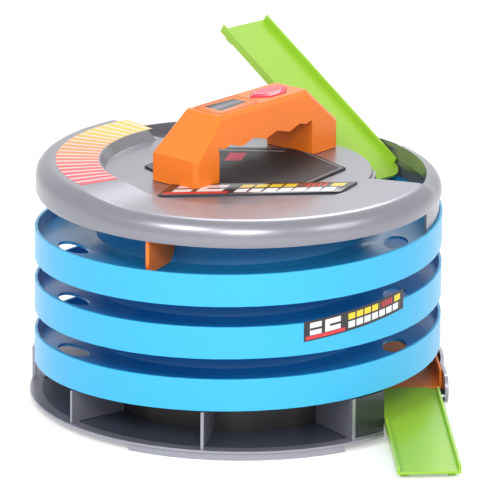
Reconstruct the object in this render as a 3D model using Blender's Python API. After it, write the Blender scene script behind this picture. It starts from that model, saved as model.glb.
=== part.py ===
"""Toy garage with a spiral track: a tower of blue tiers on a silver base, a silver lid with an orange
carry handle, a release button that lifts the start gate, and two green hinged ramps.

Metres, +Z up. Plan angles are in degrees from the front (-Y) towards the right (+X).
Cars roll towards smaller angles, from the lid's opening down to the exit at the front right.
"""
import math

import bmesh
import bpy
from mathutils import Matrix, Vector

# Tower and track
TOWER_RADIUS = 0.1500
TRACK_WALL = 0.0022
LANE_WIDTH = 0.0450
FLOOR_THICKNESS = 0.0022
TIER_PITCH = 0.0393
BAND_HEIGHT = 0.0240
LIP_HEIGHT = 0.0097
LOW_FLOOR_Z = 0.0509
RIPPLE = 0.0024
TIER_START = 150.0
TIERS = 3
CURB_WIDTH = 0.0070
CURB_HEIGHT = 0.0100
SLEEVE_WALL = 0.0028
TOWER_TOP_DROP = 0.0115
LEAST_WALL = 0.0020
CURB_BEND = (0.22, 0.35)
TIER_JOINT = 0.07
WINDOWS = ((-74.0, 9.0), (66.5, 6.5))
WINDOW_HALF_WIDTH = 0.0090
WINDOW_SKEW = 0.0027
WINDOW_SIDES = 16

# Base
FOOT_HEIGHT = 0.0046
FOOT_WIDTH = 0.0110
FOOT_HALF_ANGLE = 31.0
PAD_RADIUS = 0.0260
PLATE_THICKNESS = 0.0026
PLATE_LIP = 0.0006
PLATE_CHAMFER = 0.0010
PLATE_ROUND = 0.0004
FOOT_ANGLES = (0.0, 130.0, 230.0)
FOOT_INSET = 0.0016
SKIRT_GAP = 0.0006
SKIRT_WALL = 0.0024
SKIRT_TOP_Z = 0.0315
SKIRT_END = 264.0
DIVIDER_WALL = 0.0022
DIVIDER_ANGLES = (-97.0, -53.0, -9.5, 34.0)
DIVIDER_LIP = 0.0010
REST_GAP = 0.0006
BAND_GAP = 0.0008
EXIT_WALL_HEIGHT = 0.0315
EXIT_SIDE_ROOM = 0.0012
EXIT_CUT_START = 0.0063
EXIT_CUT_END = 0.1200
SUPPORT_ANGLES = (105.0, 125.0, 145.0)
EAR_WALL = 0.0024
EAR_INSET = 0.0023
EAR_LIFT = 0.0022
EAR_OVERLAP = 0.0025

# Exit chute and lower ramp
EXIT_ANGLE = 95.0
EXIT_RUN = 0.0445
CHUTE_WALL_HEIGHT = 0.0130
CHUTE_WALL = 0.0020
LOWER_HEADING = 5.0
EXIT_FALL = 0.02
CHUTE_CURB = 0.0040
CHUTE_GAP = 0.0004
EXIT_CLEARANCE = 0.0015

# Ramps, alike but for their lengths
UPPER_RAMP_LENGTH = 0.1755
LOWER_RAMP_LENGTH = 0.1540
RAMP_OVERHANG = 0.0080
RAMP_WIDTH = 0.0460
RAMP_THICKNESS = 0.0020
RAMP_LIP_HEIGHT = 0.0045
RAMP_LIP_WIDTH = 0.0018
RAMP_CORNER = 0.0110
HOOK_LENGTH = 0.0035
KNUCKLE_RADIUS = 0.0032
PIN_RADIUS = 0.0015
PIN_GAP = 0.0003
PIN_ENDS = (0.0020, 0.0030, 0.0050)
KNUCKLE_SINK = 0.0012
KNUCKLE_INSET = 0.0012
HOOK_INSET = 0.0060
HOOK_HALF_WIDTH = 0.0030
HOOK_REACH = (0.0120, 0.0100, 0.0050)
HOOK_THICKNESS = 0.0018

# Lid
LID_INSET = 0.0006
LID_WALL = 0.0026
LID_GAP = 0.0193
LID_HEIGHT = 0.0235
SHOULDER = 0.0115
SKIRT_CURL = 0.0012
CURL_HEIGHT = 0.0030
RING_INSET = 0.0008
RING_SLOPE = 0.0045
DISH_DEPTH = 0.0070
RIM_DROP = 0.0085
RIM_STEP = 0.0010
RIM_WALL = (0.0024, 0.0022)
BACK_SHIFT = (0.0010, 0.0030)
RECESS_DEPTH = 0.0170
RECESS_START = 73.0
RECESS_END = 217.0
RECESS_RAMP = 3.0
FRONT_DROP = 0.0045
FRONT_FALL = (-57.0, -33.0)
OPENING_END = 150.0
LINER_WALL = 0.0018
LINER_FLOOR_GAP = 0.0050
LINER_OVERLAP = 0.0060
RIB_NOTCH_HALF = 8.0
RIB_ANGLES = (93.0, 164.0)

# Upper ramp in the opening
RAMP_WALL_ROOM = 0.0038
UPPER_TANGENT_ANGLE = 133.3
UPPER_OVERRUN = 0.0180
UPPER_SLOPE = 30.1
UPPER_DROP = 0.0245
UPPER_CUT = (-0.0120, 0.0440)
UPPER_SIDE_ROOM = 0.0010
UPPER_EAR_ROOM = 0.0014
UPPER_EAR_WALL = 0.0022
UPPER_EAR_HALF = 0.0050
LINER_RELIEF = (-0.0075, 0.0200)
LINER_RELIEF_DROP = 0.0040

# Handle, in its own frame: X along the grip, Z from its feet
HANDLE_CENTRE = (0.0045, 0.0140)
HANDLE_TURN = 49.0
HANDLE_END_ROOM = 0.0175
HANDLE_WIDTH = 0.0355
HANDLE_FOOT_WIDTH = 0.0445
HANDLE_HEIGHT = 0.0485
LEG_HEIGHT = 0.0210
CHAMFER_RUN = 0.0323
BACK_CHAMFER_RUN = 0.0295
GRIP_DEPTH = 0.0220
FRONT_LEG = 0.0260
BACK_LEG = 0.0300
HANDLE_WALL = 0.0026
HANDLE_EDGE = 0.0030
SCALLOPS = 4
SCALLOP_DEPTH = 0.0035
COVER_THICKNESS = 0.0030
RAIL_WALL = 0.0020
RAIL_HEIGHT = 0.0030
RAIL_INSET = 0.0060
HANDLE_BOSS = 0.0040
HANDLE_BOSS_HALF = 0.0045
HANDLE_BOSS_HEIGHT = 0.0120
HANDLE_HOLE_HEIGHT = 0.0100
ROOF_SHARE = 1.3
ROOF_LOSS = 1.8
DECK_THICKNESS = 0.0010
DECK_CENTRE_X = 0.0045
DECK_HALF_LENGTH = 0.0740
DECK_HALF_WIDTH = 0.0520
DECK_FLAT = 0.0400

# Release mechanism
BUTTON_END_ROOM = 0.0045
BUTTON_LENGTH = 0.0410
BUTTON_WIDTH = 0.0190
BUTTON_CROWN = 0.0022
CROWN_SHARE = (0.80, 0.66)
CROWN_START = 0.35
LOZENGE_POINT = 0.30
BUTTON_TRAVEL = 0.0050
FLANGE_EDGE = 0.0020
FLANGE_THICKNESS = 0.0016
BAR_THICKNESS = 0.0045
BAR_HALF_WIDTH = 0.0040
SPRING_RADIUS = 0.0042
SPRING_WIRE = 0.0005
SPRING_CURLS = 6
SPRING_POINTS = 10
ROD_INSET = 0.0132
ROD_LENGTH = 0.0090
ROD_HALF_WIDTH = 0.0045
ROD_HOLE_GAP = 0.00045
TOE_HALF = 0.0010
TOE_HEIGHT = 0.0016
CAM_SETBACK = 0.0020
CAM_GAP = 0.00045
NOSE_SETBACK = 0.0020
NOSE_DROP = 0.0010
NOSE_FLAT = 0.0006
BAR_HUMP = 0.0060
SPRING_SETBACK = 0.0080
GATE_ANGLE = -27.0
GATE_THICKNESS = 0.0028
GATE_CLEAR = 0.0050
GATE_REACH = 0.02308
GATE_ARM_HALF = 0.0030
GATE_ARM_HEIGHT = 0.0060
GATE_ARM_LIFT = 0.0022
GATE_ARM_END = 0.0060
GATE_TOP_DROP = 0.0205
GATE_CORNER = 0.0060
GATE_EDGE_ROOM = (0.0008, 0.0040)
GATE_CURB_ROOM = (0.0010, 0.0015)
PAD_HALF = 0.0035
PAD_LENGTH = 0.0245
BRACKET_GAP = 0.0006
BRACKET_WALL = 0.0024
BRACKET_HALF = 0.0040
BRACKET_DROP = 0.0038
PIVOT_BORE_HALF = 0.0100

# Screws
SCREW_RADIUS = 0.0014
SCREW_HEAD_RADIUS = 0.0028
SCREW_HEAD = 0.0018
SCREW_INSET = 0.0075
SCREW_ANGLES = (20.0, 100.0, 190.0, 280.0)
BOSS_RADIUS = 0.0042
LUG_HEIGHT = 0.0120
LUG_HALF_ANGLE = 3.0
BOSS_TRIM = 0.0004
LID_HOLE_TOP = 0.0040
LID_SCREW_TOP = 0.0060
BASE_SCREW_REACH = 0.0084
HANDLE_SCREW_REACH = 0.0080
HEAD_SIDES = 14
SHANK_SIDES = 10

# General
MIDDLE_RADIUS = 0.0300
GAP = 0.0003
STEPS = 60
EPS = 0.0005

# What follows from the driving dimensions
LANE_OUTER = TOWER_RADIUS - TRACK_WALL
LANE_INNER = LANE_OUTER - LANE_WIDTH
CORE_RADIUS = LANE_INNER - TRACK_WALL
SLEEVE_OUTER = CORE_RADIUS - GAP
SLEEVE_INNER = SLEEVE_OUTER - SLEEVE_WALL
LANE_CENTRE = (LANE_INNER + LANE_OUTER) / 2
RAMP_LIFT = KNUCKLE_RADIUS - KNUCKLE_SINK
RAMP_LANE_RADIUS = LANE_OUTER - RAMP_WALL_ROOM - RAMP_WIDTH / 2
LID_RADIUS = TOWER_RADIUS - LID_INSET
RING_INNER = LANE_INNER - RING_INSET
DISH_RADIUS = RING_INNER - RING_SLOPE
SCREW_RING = SLEEVE_INNER - SCREW_INSET
HANDLE_LENGTH = 2 * (DISH_RADIUS - HANDLE_END_ROOM)
BUTTON_PLACE = HANDLE_LENGTH / 2 - BACK_CHAMFER_RUN - BUTTON_LENGTH / 2 - BUTTON_END_ROOM
ROD_PLACE = ROD_INSET - HANDLE_LENGTH / 2
ROOF_WALL = HANDLE_WALL * ROOF_SHARE
TOP_FLOOR_Z = LOW_FLOOR_Z + (TIERS - 1) * TIER_PITCH
PLATE_TOP = FOOT_HEIGHT + PLATE_THICKNESS
LID_BOTTOM = TOP_FLOOR_Z + LIP_HEIGHT + LID_GAP
LID_TOP = LID_BOTTOM + LID_HEIGHT
DISH_TOP = LID_TOP - DISH_DEPTH
DISH_UNDER = DISH_TOP - LID_WALL
TOWER_TOP = LID_BOTTOM - TOWER_TOP_DROP
SKIRT_OUTER = TOWER_RADIUS + SKIRT_GAP + SKIRT_WALL
PLATE_RADIUS = SKIRT_OUTER + PLATE_LIP
LINER_OUTER = LANE_OUTER - GAP
LINER_INNER = LINER_OUTER - LINER_WALL
HANDLE_Z = DISH_TOP + GAP
COVER_TOP = HANDLE_HEIGHT - GRIP_DEPTH + COVER_THICKNESS
FLANGE_TOP = HANDLE_HEIGHT - ROOF_WALL - GAP
FLANGE_UNDER = FLANGE_TOP - FLANGE_THICKNESS
LAST_TIER_END = TIER_START - 360.0 * TIERS
EXIT_TURN = EXIT_ANGLE - 360.0 * TIERS


def material(name, colour, roughness, metallic=0.0):
    """A plain Principled material."""
    found = bpy.data.materials.new(name)
    found.use_nodes = True
    shader = found.node_tree.nodes["Principled BSDF"]
    shader.inputs["Base Color"].default_value = (*colour, 1.0)
    shader.inputs["Roughness"].default_value = roughness
    shader.inputs["Metallic"].default_value = metallic
    return found


def track_blue():
    return material("track_blue", (0.06, 0.55, 0.86), 0.35)


def silver():
    return material("silver_plastic", (0.50, 0.50, 0.56), 0.32, 0.6)


def orange():
    return material("handle_orange", (0.90, 0.20, 0.03), 0.38)


def ramp_green():
    return material("ramp_green", (0.42, 0.68, 0.07), 0.38)


def button_red():
    return material("button_red", (0.75, 0.03, 0.07), 0.30)


def deck_black():
    return material("deck_black", (0.03, 0.03, 0.035), 0.35)


def steel():
    return material("steel", (0.60, 0.60, 0.62), 0.30, 1.0)


def grey():
    return material("inner_grey", (0.25, 0.25, 0.28), 0.50)


def floor_z(angle):
    """Height of the track's running surface, flatter at the front of each turn."""
    return TOP_FLOOR_Z + TIER_PITCH * angle / 360.0 - RIPPLE * math.sin(math.radians(angle))


def plan(radius, angle, z=0.0):
    """A point from its radius and plan angle."""
    turn = math.radians(angle)
    return Vector((radius * math.sin(turn), -radius * math.cos(turn), z))


def finish(name, mesh, look, place=None, smooth_angle=35.0):
    """Closes off a bmesh as a named object with its material."""
    bmesh.ops.recalc_face_normals(mesh, faces=mesh.faces)
    data = bpy.data.meshes.new(name)
    mesh.to_mesh(data)
    mesh.free()
    data.shade_smooth()
    data.set_sharp_from_angle(angle=math.radians(smooth_angle))
    data.materials.append(look)
    item = bpy.data.objects.new(name, data)
    bpy.context.collection.objects.link(item)
    if place is not None:
        item.matrix_world = place
    return item


def ring_loft(rings, closed):
    """A bmesh that joins equal rings of points; open ends are capped."""
    mesh = bmesh.new()
    loops = [[mesh.verts.new(point) for point in ring] for ring in rings]
    count = len(loops[0])
    last = len(loops) if closed else len(loops) - 1
    for here in range(last):
        near, far = loops[here], loops[(here + 1) % len(loops)]
        for side in range(count):
            after = (side + 1) % count
            mesh.faces.new((near[side], near[after], far[after], far[side]))
    if not closed:
        mesh.faces.new(loops[0])
        mesh.faces.new(loops[-1])
    return mesh


def spiral(section, start, end, steps):
    """Rings of section(angle), a list of (radius, z), from one plan angle to another."""
    rings = []
    for step in range(steps + 1):
        angle = start + (end - start) * step / steps
        rings.append([plan(radius, angle, z) for radius, z in section(angle)])
    return ring_loft(rings, closed=False)


def turned(section, steps=STEPS):
    """A full turn of a closed (radius, z) section."""
    rings = [[plan(radius, 360.0 * step / steps, z) for radius, z in section] for step in range(steps)]
    return ring_loft(rings, closed=True)


def capped_turn(section, steps):
    """A full turn of an open section(angle) whose first and last points are closed by discs."""
    mesh = bmesh.new()
    loops = []
    for step in range(steps):
        angle = 360.0 * step / steps
        loops.append([mesh.verts.new(plan(radius, angle, z)) for radius, z in section(angle)])
    count = len(loops[0])
    for here in range(steps):
        near, far = loops[here], loops[(here + 1) % steps]
        for side in range(count - 1):
            mesh.faces.new((near[side], near[side + 1], far[side + 1], far[side]))
    mesh.faces.new([loop[0] for loop in loops])
    mesh.faces.new([loop[-1] for loop in loops])
    return mesh


def prism(outline, low, high, axis="Z"):
    """An outline of 2-D points pulled out along Z, or along Y for an (x, z) side view."""
    rings = []
    for level in (low, high):
        if axis == "Z":
            rings.append([Vector((x, y, level)) for x, y in outline])
        else:
            rings.append([Vector((x, level, z)) for x, z in outline])
    return ring_loft(rings, closed=False)


def box_outline(x_low, x_high, y_low, y_high):
    return [(x_low, y_low), (x_high, y_low), (x_high, y_high), (x_low, y_high)]


def sector(inner, outer, start, end, low, high, steps):
    """A block of an annulus."""
    return spiral(lambda angle: [(inner, low), (outer, low), (outer, high), (inner, high)], start, end, steps)


def rod_mesh(radius, start, end, sides=16):
    """A round rod between two points."""
    start, end = Vector(start), Vector(end)
    along = (end - start).normalized()
    across = along.orthogonal().normalized()
    other = along.cross(across)
    rings = []
    for centre in (start, end):
        ring = []
        for side in range(sides):
            turn = 2 * math.pi * side / sides
            ring.append(centre + radius * (math.cos(turn) * across + math.sin(turn) * other))
        rings.append(ring)
    return ring_loft(rings, closed=False)


def combine(target, mesh, operation, place=None):
    """Applies a Boolean of a bmesh on an object, and removes the tool."""
    tool = finish("tool", mesh, target.data.materials[0], place)
    step = target.modifiers.new(operation.lower(), "BOOLEAN")
    step.operation = operation
    step.solver = "EXACT"
    step.object = tool
    bpy.context.view_layer.update()
    graph = bpy.context.evaluated_depsgraph_get()
    result = bpy.data.meshes.new_from_object(target.evaluated_get(graph))
    target.modifiers.clear()
    old = target.data
    target.data = result
    bpy.data.meshes.remove(old)
    scrap = tool.data
    bpy.data.objects.remove(tool)
    bpy.data.meshes.remove(scrap)
    return target


def cut(target, mesh, place=None):
    return combine(target, mesh, "DIFFERENCE", place)


def join(target, mesh, place=None):
    return combine(target, mesh, "UNION", place)


def handle_frame():
    """Handle frame: X along the grip towards the back right, Z up from the handle's feet."""
    spot = Matrix.Translation((HANDLE_CENTRE[0], HANDLE_CENTRE[1], HANDLE_Z))
    return spot @ Matrix.Rotation(math.radians(HANDLE_TURN), 4, "Z")


def upper_ramp_frame():
    """Pivot frame of the upper ramp: X up the ramp, Y along the pin towards the axis, Z off its surface."""
    turn = math.radians(UPPER_TANGENT_ANGLE)
    heading = Vector((-math.cos(turn), -math.sin(turn), 0.0))
    outward = Vector((math.sin(turn), -math.cos(turn), 0.0))
    pivot = outward * RAMP_LANE_RADIUS + heading * UPPER_OVERRUN
    pivot.z = DISH_TOP - UPPER_DROP
    slope = math.radians(UPPER_SLOPE)
    along = -heading * math.cos(slope) + Vector((0.0, 0.0, math.sin(slope)))
    across = -outward
    off = along.cross(across)
    frame = Matrix((along, across, off)).transposed().to_4x4()
    frame.translation = pivot
    return frame


def exit_heading():
    turn = math.radians(EXIT_ANGLE)
    return Vector((-math.cos(turn), -math.sin(turn), 0.0))


def exit_outward():
    turn = math.radians(EXIT_ANGLE)
    return Vector((math.sin(turn), -math.cos(turn), 0.0))


def exit_floor():
    return floor_z(EXIT_TURN) - EXIT_RUN * EXIT_FALL


def lower_run():
    """Distance of the lower ramp's pivot from the exit's tangent point, along the lane."""
    return EXIT_RUN + RAMP_OVERHANG + EXIT_CLEARANCE


def lower_ramp_frame():
    """Pivot frame of the lower ramp: X out along the ramp, Z off its surface."""
    pivot = exit_outward() * RAMP_LANE_RADIUS + exit_heading() * lower_run()
    pivot.z = exit_floor() - RAMP_LIFT - RAMP_THICKNESS - EPS
    turn = math.radians(LOWER_HEADING)
    slope = math.asin((pivot.z + RAMP_LIFT - HOOK_LENGTH) / (LOWER_RAMP_LENGTH - RAMP_OVERHANG))
    ahead = Vector((math.sin(turn), -math.cos(turn), 0.0))
    along = ahead * math.cos(slope) - Vector((0.0, 0.0, math.sin(slope)))
    across = Vector((0.0, 0.0, 1.0)).cross(ahead).normalized()
    off = along.cross(across)
    frame = Matrix((along, across, off)).transposed().to_4x4()
    frame.translation = pivot
    return frame


def tier_section(angle, lowest):
    """Outer band, floor, curb and inner wall of a tier at a plan angle."""
    floor = floor_z(angle)
    under = floor - FLOOR_THICKNESS
    band_low = floor + LIP_HEIGHT - BAND_HEIGHT
    if lowest:
        band_low = max(band_low, PLATE_TOP + EPS)
    wall_top = max(min(floor + TIER_PITCH - FLOOR_THICKNESS - GAP, TOWER_TOP), floor + LEAST_WALL)
    curb = min(CURB_HEIGHT, wall_top - floor - EPS)
    return [
        (CORE_RADIUS, under),
        (LANE_OUTER, under),
        (LANE_OUTER, band_low),
        (TOWER_RADIUS, band_low),
        (TOWER_RADIUS, floor + LIP_HEIGHT),
        (LANE_OUTER, floor + LIP_HEIGHT),
        (LANE_OUTER, floor),
        (LANE_INNER + CURB_WIDTH, floor),
        (LANE_INNER + CURB_WIDTH * CURB_BEND[0], floor + curb * CURB_BEND[1]),
        (LANE_INNER, floor + curb),
        (LANE_INNER, wall_top),
        (CORE_RADIUS, wall_top),
    ]


def window_outline(middle, half_angle):
    """A lens-shaped window in the floor, set askew across the lane."""
    points = []
    for side in range(WINDOW_SIDES):
        turn = 2 * math.pi * side / WINDOW_SIDES
        angle = middle + half_angle * math.cos(turn)
        radius = LANE_CENTRE + WINDOW_HALF_WIDTH * math.sin(turn) - WINDOW_SKEW * math.cos(turn)
        spot = plan(radius, angle)
        points.append((spot.x, spot.y))
    return points


def track_tier(index):
    """One turn of the spiral track, the first at the top."""
    start = TIER_START - 360.0 * index - TIER_JOINT
    end = start - 360.0 + 2 * TIER_JOINT
    lowest = index == TIERS - 1
    mesh = spiral(lambda angle: tier_section(angle, lowest), start, end, STEPS)
    item = finish("track_tier_%d" % (index + 1), mesh, track_blue())
    for middle, half in WINDOWS:
        level = floor_z(middle - 360.0 * index)
        depth = 3 * FLOOR_THICKNESS
        cut(item, prism(window_outline(middle, half), level - depth, level + depth))
    return item


def screw_hole(angle, low, high):
    """Upright hole for a screw on the screw ring."""
    return rod_mesh(SCREW_RADIUS + GAP, plan(SCREW_RING, angle, low), plan(SCREW_RING, angle, high))


def core_sleeve():
    """The tube that the tiers slide on, with screw lugs inside at both ends."""
    low = PLATE_TOP + GAP
    top = TOWER_TOP
    profile = [(SLEEVE_INNER, low), (SLEEVE_OUTER, low), (SLEEVE_OUTER, top), (SLEEVE_INNER, top)]
    item = finish("core_sleeve", turned(profile), grey())
    for angle in SCREW_ANGLES:
        for bottom in (low, top - LUG_HEIGHT):
            lug = sector(SCREW_RING - BOSS_RADIUS, SLEEVE_INNER + EPS, angle - LUG_HALF_ANGLE,
                         angle + LUG_HALF_ANGLE, bottom, bottom + LUG_HEIGHT, 2)
            join(item, lug)
        cut(item, screw_hole(angle, low - EPS, top + EPS))
    return item


def skirt_section(angle):
    top = SKIRT_TOP_Z
    return [(SKIRT_OUTER - SKIRT_WALL, PLATE_TOP - EPS), (SKIRT_OUTER, PLATE_TOP - EPS),
            (SKIRT_OUTER, top), (SKIRT_OUTER - SKIRT_WALL, top)]


def low_floor(angle):
    """Height of the lowest tier's running surface at a plan angle."""
    return floor_z(angle - 360.0 * (TIERS - 1))


def hub_section(angle):
    """Wall around the sleeve that the lowest tier rests on."""
    top = low_floor(angle) - FLOOR_THICKNESS - GAP
    inner, outer = CORE_RADIUS + GAP, LANE_INNER
    return [(inner, PLATE_TOP - EPS), (outer, PLATE_TOP - EPS), (outer, top), (inner, top)]


def lane_crossing(side, radius):
    """Distance from the pin, along a line beside the exit lane, to a circle round the tower's axis."""
    frame = level_frame(lower_ramp_frame())
    ahead = Vector((frame[0][0], frame[1][0]))
    start = (frame @ Vector((0.0, side, 0.0))).xy
    along = start.dot(ahead)
    return math.sqrt(along ** 2 - start.length_squared + radius ** 2) - along


def lane_angle(distance, side):
    """Plan angle of a point beside the exit lane."""
    spot = level_frame(lower_ramp_frame()) @ Vector((distance, side, 0.0))
    return math.degrees(math.atan2(spot.x, -spot.y))


def exit_side():
    """The exit lane's left side, across from its middle."""
    return -RAMP_WIDTH / 2 - EXIT_SIDE_ROOM


def ear_side():
    """The ear's inner face, across from the exit lane's middle."""
    return TOWER_RADIUS - EAR_INSET - RAMP_LANE_RADIUS


def ear_start():
    """Where the ear meets the skirt, along the exit lane."""
    return lane_crossing(ear_side() + EAR_WALL / 2, SKIRT_OUTER - SKIRT_WALL / 2)


def skirt_start():
    return lane_angle(ear_start() - PLATE_LIP, ear_side() + EAR_WALL / 2)


def wall_end():
    """Where the exit lane's wall ends, just inside the lowest band."""
    return lane_crossing(exit_side(), LANE_OUTER - EPS)


def plate_section(angle):
    """Half section of the round floor plate, from its top middle round its edge."""
    outer = PLATE_RADIUS
    low = FOOT_HEIGHT
    return [(MIDDLE_RADIUS, PLATE_TOP), (outer - PLATE_ROUND, PLATE_TOP), (outer, PLATE_TOP - PLATE_ROUND),
            (outer, low + PLATE_CHAMFER), (outer - PLATE_CHAMFER, low), (MIDDLE_RADIUS, low)]


def base_tray():
    """Round floor plate with feet, a hub wall, compartment dividers and the back skirt."""
    item = finish("base_tray", capped_turn(plate_section, STEPS), silver())
    for middle in FOOT_ANGLES:
        foot = sector(PLATE_RADIUS - FOOT_WIDTH, PLATE_RADIUS - FOOT_INSET, middle - FOOT_HALF_ANGLE,
                      middle + FOOT_HALF_ANGLE, 0.0, FOOT_HEIGHT + EPS, 10)
        join(item, foot)
    join(item, rod_mesh(PAD_RADIUS, (0.0, 0.0, 0.0), (0.0, 0.0, FOOT_HEIGHT + EPS), 30))
    join(item, spiral(skirt_section, skirt_start(), SKIRT_END, 30))
    join(item, spiral(hub_section, TIER_START - 0.5, TIER_START - 359.5, STEPS))
    frame = level_frame(lower_ramp_frame())
    lane = box_outline(-EXIT_CUT_START, EXIT_CUT_END, exit_side() + GAP, RAMP_WIDTH)
    cut(item, prism(lane, -EPS, SKIRT_TOP_Z + EPS), frame)
    for angle in DIVIDER_ANGLES:
        join(item, divider(angle))
    for angle in SUPPORT_ANGLES:
        join(item, chute_support(angle))
    join(item, closed_panel())
    join(item, exit_wall(), frame)
    join(item, exit_ear(), frame)
    cut(item, pin_bore(lower_ramp_frame(), RAMP_WIDTH / 2 + EAR_WALL * 3.5), frame)
    for angle in SCREW_ANGLES:
        cut(item, screw_hole(angle, -EPS, PLATE_TOP + EPS))
    return item


def pin_bore(frame, reach):
    """Bore for a hinge pin along Y, at the height of a ramp's frame."""
    height = frame.translation.z
    return rod_mesh(PIN_RADIUS + PIN_GAP, (0.0, -reach, height), (0.0, reach, height))


def radial_wall(outline, angle):
    """A flat wall along a radius, from its outline in radius and height."""
    mesh = prism(outline, -DIVIDER_WALL / 2, DIVIDER_WALL / 2, axis="Y")
    frame = Matrix.Rotation(math.radians(angle - 90.0), 4, "Z")
    bmesh.ops.transform(mesh, matrix=frame, verts=mesh.verts)
    return mesh


def divider(angle):
    """A radial wall between two compartments, under the lowest tier and inside its band."""
    top = low_floor(angle) - FLOOR_THICKNESS - REST_GAP
    band_low = low_floor(angle) + LIP_HEIGHT - BAND_HEIGHT - BAND_GAP
    inner, middle, outer = LANE_INNER - DIVIDER_LIP, LANE_OUTER - DIVIDER_LIP, TOWER_RADIUS + DIVIDER_LIP
    outline = [(inner, PLATE_TOP - EPS), (outer, PLATE_TOP - EPS), (outer, band_low), (middle, band_low),
               (middle, top), (inner, top)]
    return radial_wall(outline, angle)


def chute_support(angle):
    """A low wall that the exit chute rests on."""
    top = floor_z(angle - 360.0 * TIERS) - CHUTE_WALL - REST_GAP
    inner, outer = LANE_INNER - DIVIDER_LIP, LANE_OUTER
    outline = [(inner, PLATE_TOP - EPS), (outer, PLATE_TOP - EPS), (outer, top), (inner, top)]
    return radial_wall(outline, angle)


def closed_panel():
    """The short closed stretch of wall between the last divider and the exit lane."""
    def section(angle):
        band_low = low_floor(angle) + LIP_HEIGHT - BAND_HEIGHT - BAND_GAP
        inner, outer = LANE_OUTER, TOWER_RADIUS
        return [(inner, PLATE_TOP - EPS), (outer, PLATE_TOP - EPS), (outer, band_low), (inner, band_low)]
    end = lane_angle(wall_end(), exit_side() - DIVIDER_WALL)
    return spiral(section, DIVIDER_ANGLES[-1] - 0.3, end, 6)


def level_frame(frame):
    """The upright frame at a ramp's pivot: X level along the ramp, Y along the pin, origin on the ground."""
    along = Vector((frame[0][0], frame[1][0], 0.0)).normalized()
    across = Vector((frame[0][1], frame[1][1], 0.0)).normalized()
    level = Matrix((along, across, Vector((0.0, 0.0, 1.0)))).transposed().to_4x4()
    level.translation = Vector((frame.translation.x, frame.translation.y, 0.0))
    return level


def exit_wall():
    """The straight wall along the left side of the exit lane, in the level frame of the lower ramp."""
    side = exit_side()
    start = lane_crossing(side - DIVIDER_WALL / 2, LANE_INNER)
    outline = box_outline(start, wall_end(), side - DIVIDER_WALL, side)
    return prism(outline, PLATE_TOP - EPS, PLATE_TOP + EXIT_WALL_HEIGHT)


def exit_ear():
    """The rounded ear that runs on from the skirt and carries the lower ramp's pin."""
    low, high = PLATE_TOP + EAR_LIFT, SKIRT_TOP_Z
    middle = (low + high) / 2
    radius = (high - low) / 2
    back = ear_start() - EAR_OVERLAP
    outline = [(back, low), (0.0, low)]
    for step in range(1, 8):
        turn = math.radians(180.0 * step / 8)
        outline.append((radius * math.sin(turn), middle - radius * math.cos(turn)))
    outline += [(0.0, high), (back, high)]
    return prism(outline, ear_side(), ear_side() + EAR_WALL, axis="Y")


def exit_chute():
    """Orange channel that carries the last part turn and runs straight out of the tower."""
    first = LAST_TIER_END - 0.15
    steps = 12
    straight = 4
    rings = []
    for step in range(steps + 1):
        angle = first + (EXIT_TURN - first) * step / steps
        rings.append([plan(radius, angle, z) for radius, z in chute_section(floor_z(angle))])
    for step in range(1, straight + 1):
        run = EXIT_RUN * step / straight
        level = floor_z(EXIT_TURN) + (exit_floor() - floor_z(EXIT_TURN)) * step / straight
        origin = exit_heading() * run
        ring = []
        for radius, z in chute_section(level):
            point = exit_outward() * radius + origin
            ring.append(Vector((point.x, point.y, z)))
        rings.append(ring)
    return finish("exit_chute", ring_loft(rings, closed=False), orange())


def chute_section(floor):
    inner = LANE_INNER + GAP
    outer = LANE_OUTER - CHUTE_GAP
    near, far = inner + CHUTE_WALL, outer - CHUTE_WALL
    under = floor - CHUTE_WALL
    top = floor + CHUTE_WALL_HEIGHT
    curb = floor + CHUTE_CURB
    return [(inner, under), (outer, under), (outer, top), (far, top), (far, floor), (near, floor),
            (near, curb), (inner, curb)]


def recess_share(angle):
    """0 where the lid has its flat ring, 1 in the recessed back part."""
    spot = (angle + 180.0) % 360.0 - 180.0
    end = RECESS_END + RECESS_RAMP
    if spot < end - 360.0:
        spot += 360.0
    rise = min(max((spot - RECESS_START) / RECESS_RAMP, 0.0), 1.0)
    fall = min(max((end - spot) / RECESS_RAMP, 0.0), 1.0)
    return min(rise, fall) if spot > 0 else 0.0


def front_drop(angle):
    """How far the ring is lowered at the front, softly at its left end and down to the recess at its right."""
    spot = (angle + 180.0) % 360.0 - 180.0
    share = min(max((spot - FRONT_FALL[0]) / (FRONT_FALL[1] - FRONT_FALL[0]), 0.0), 1.0)
    return FRONT_DROP * share * share * (3.0 - 2.0 * share) * (1.0 - recess_share(angle)) * (spot < OPENING_END)


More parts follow.
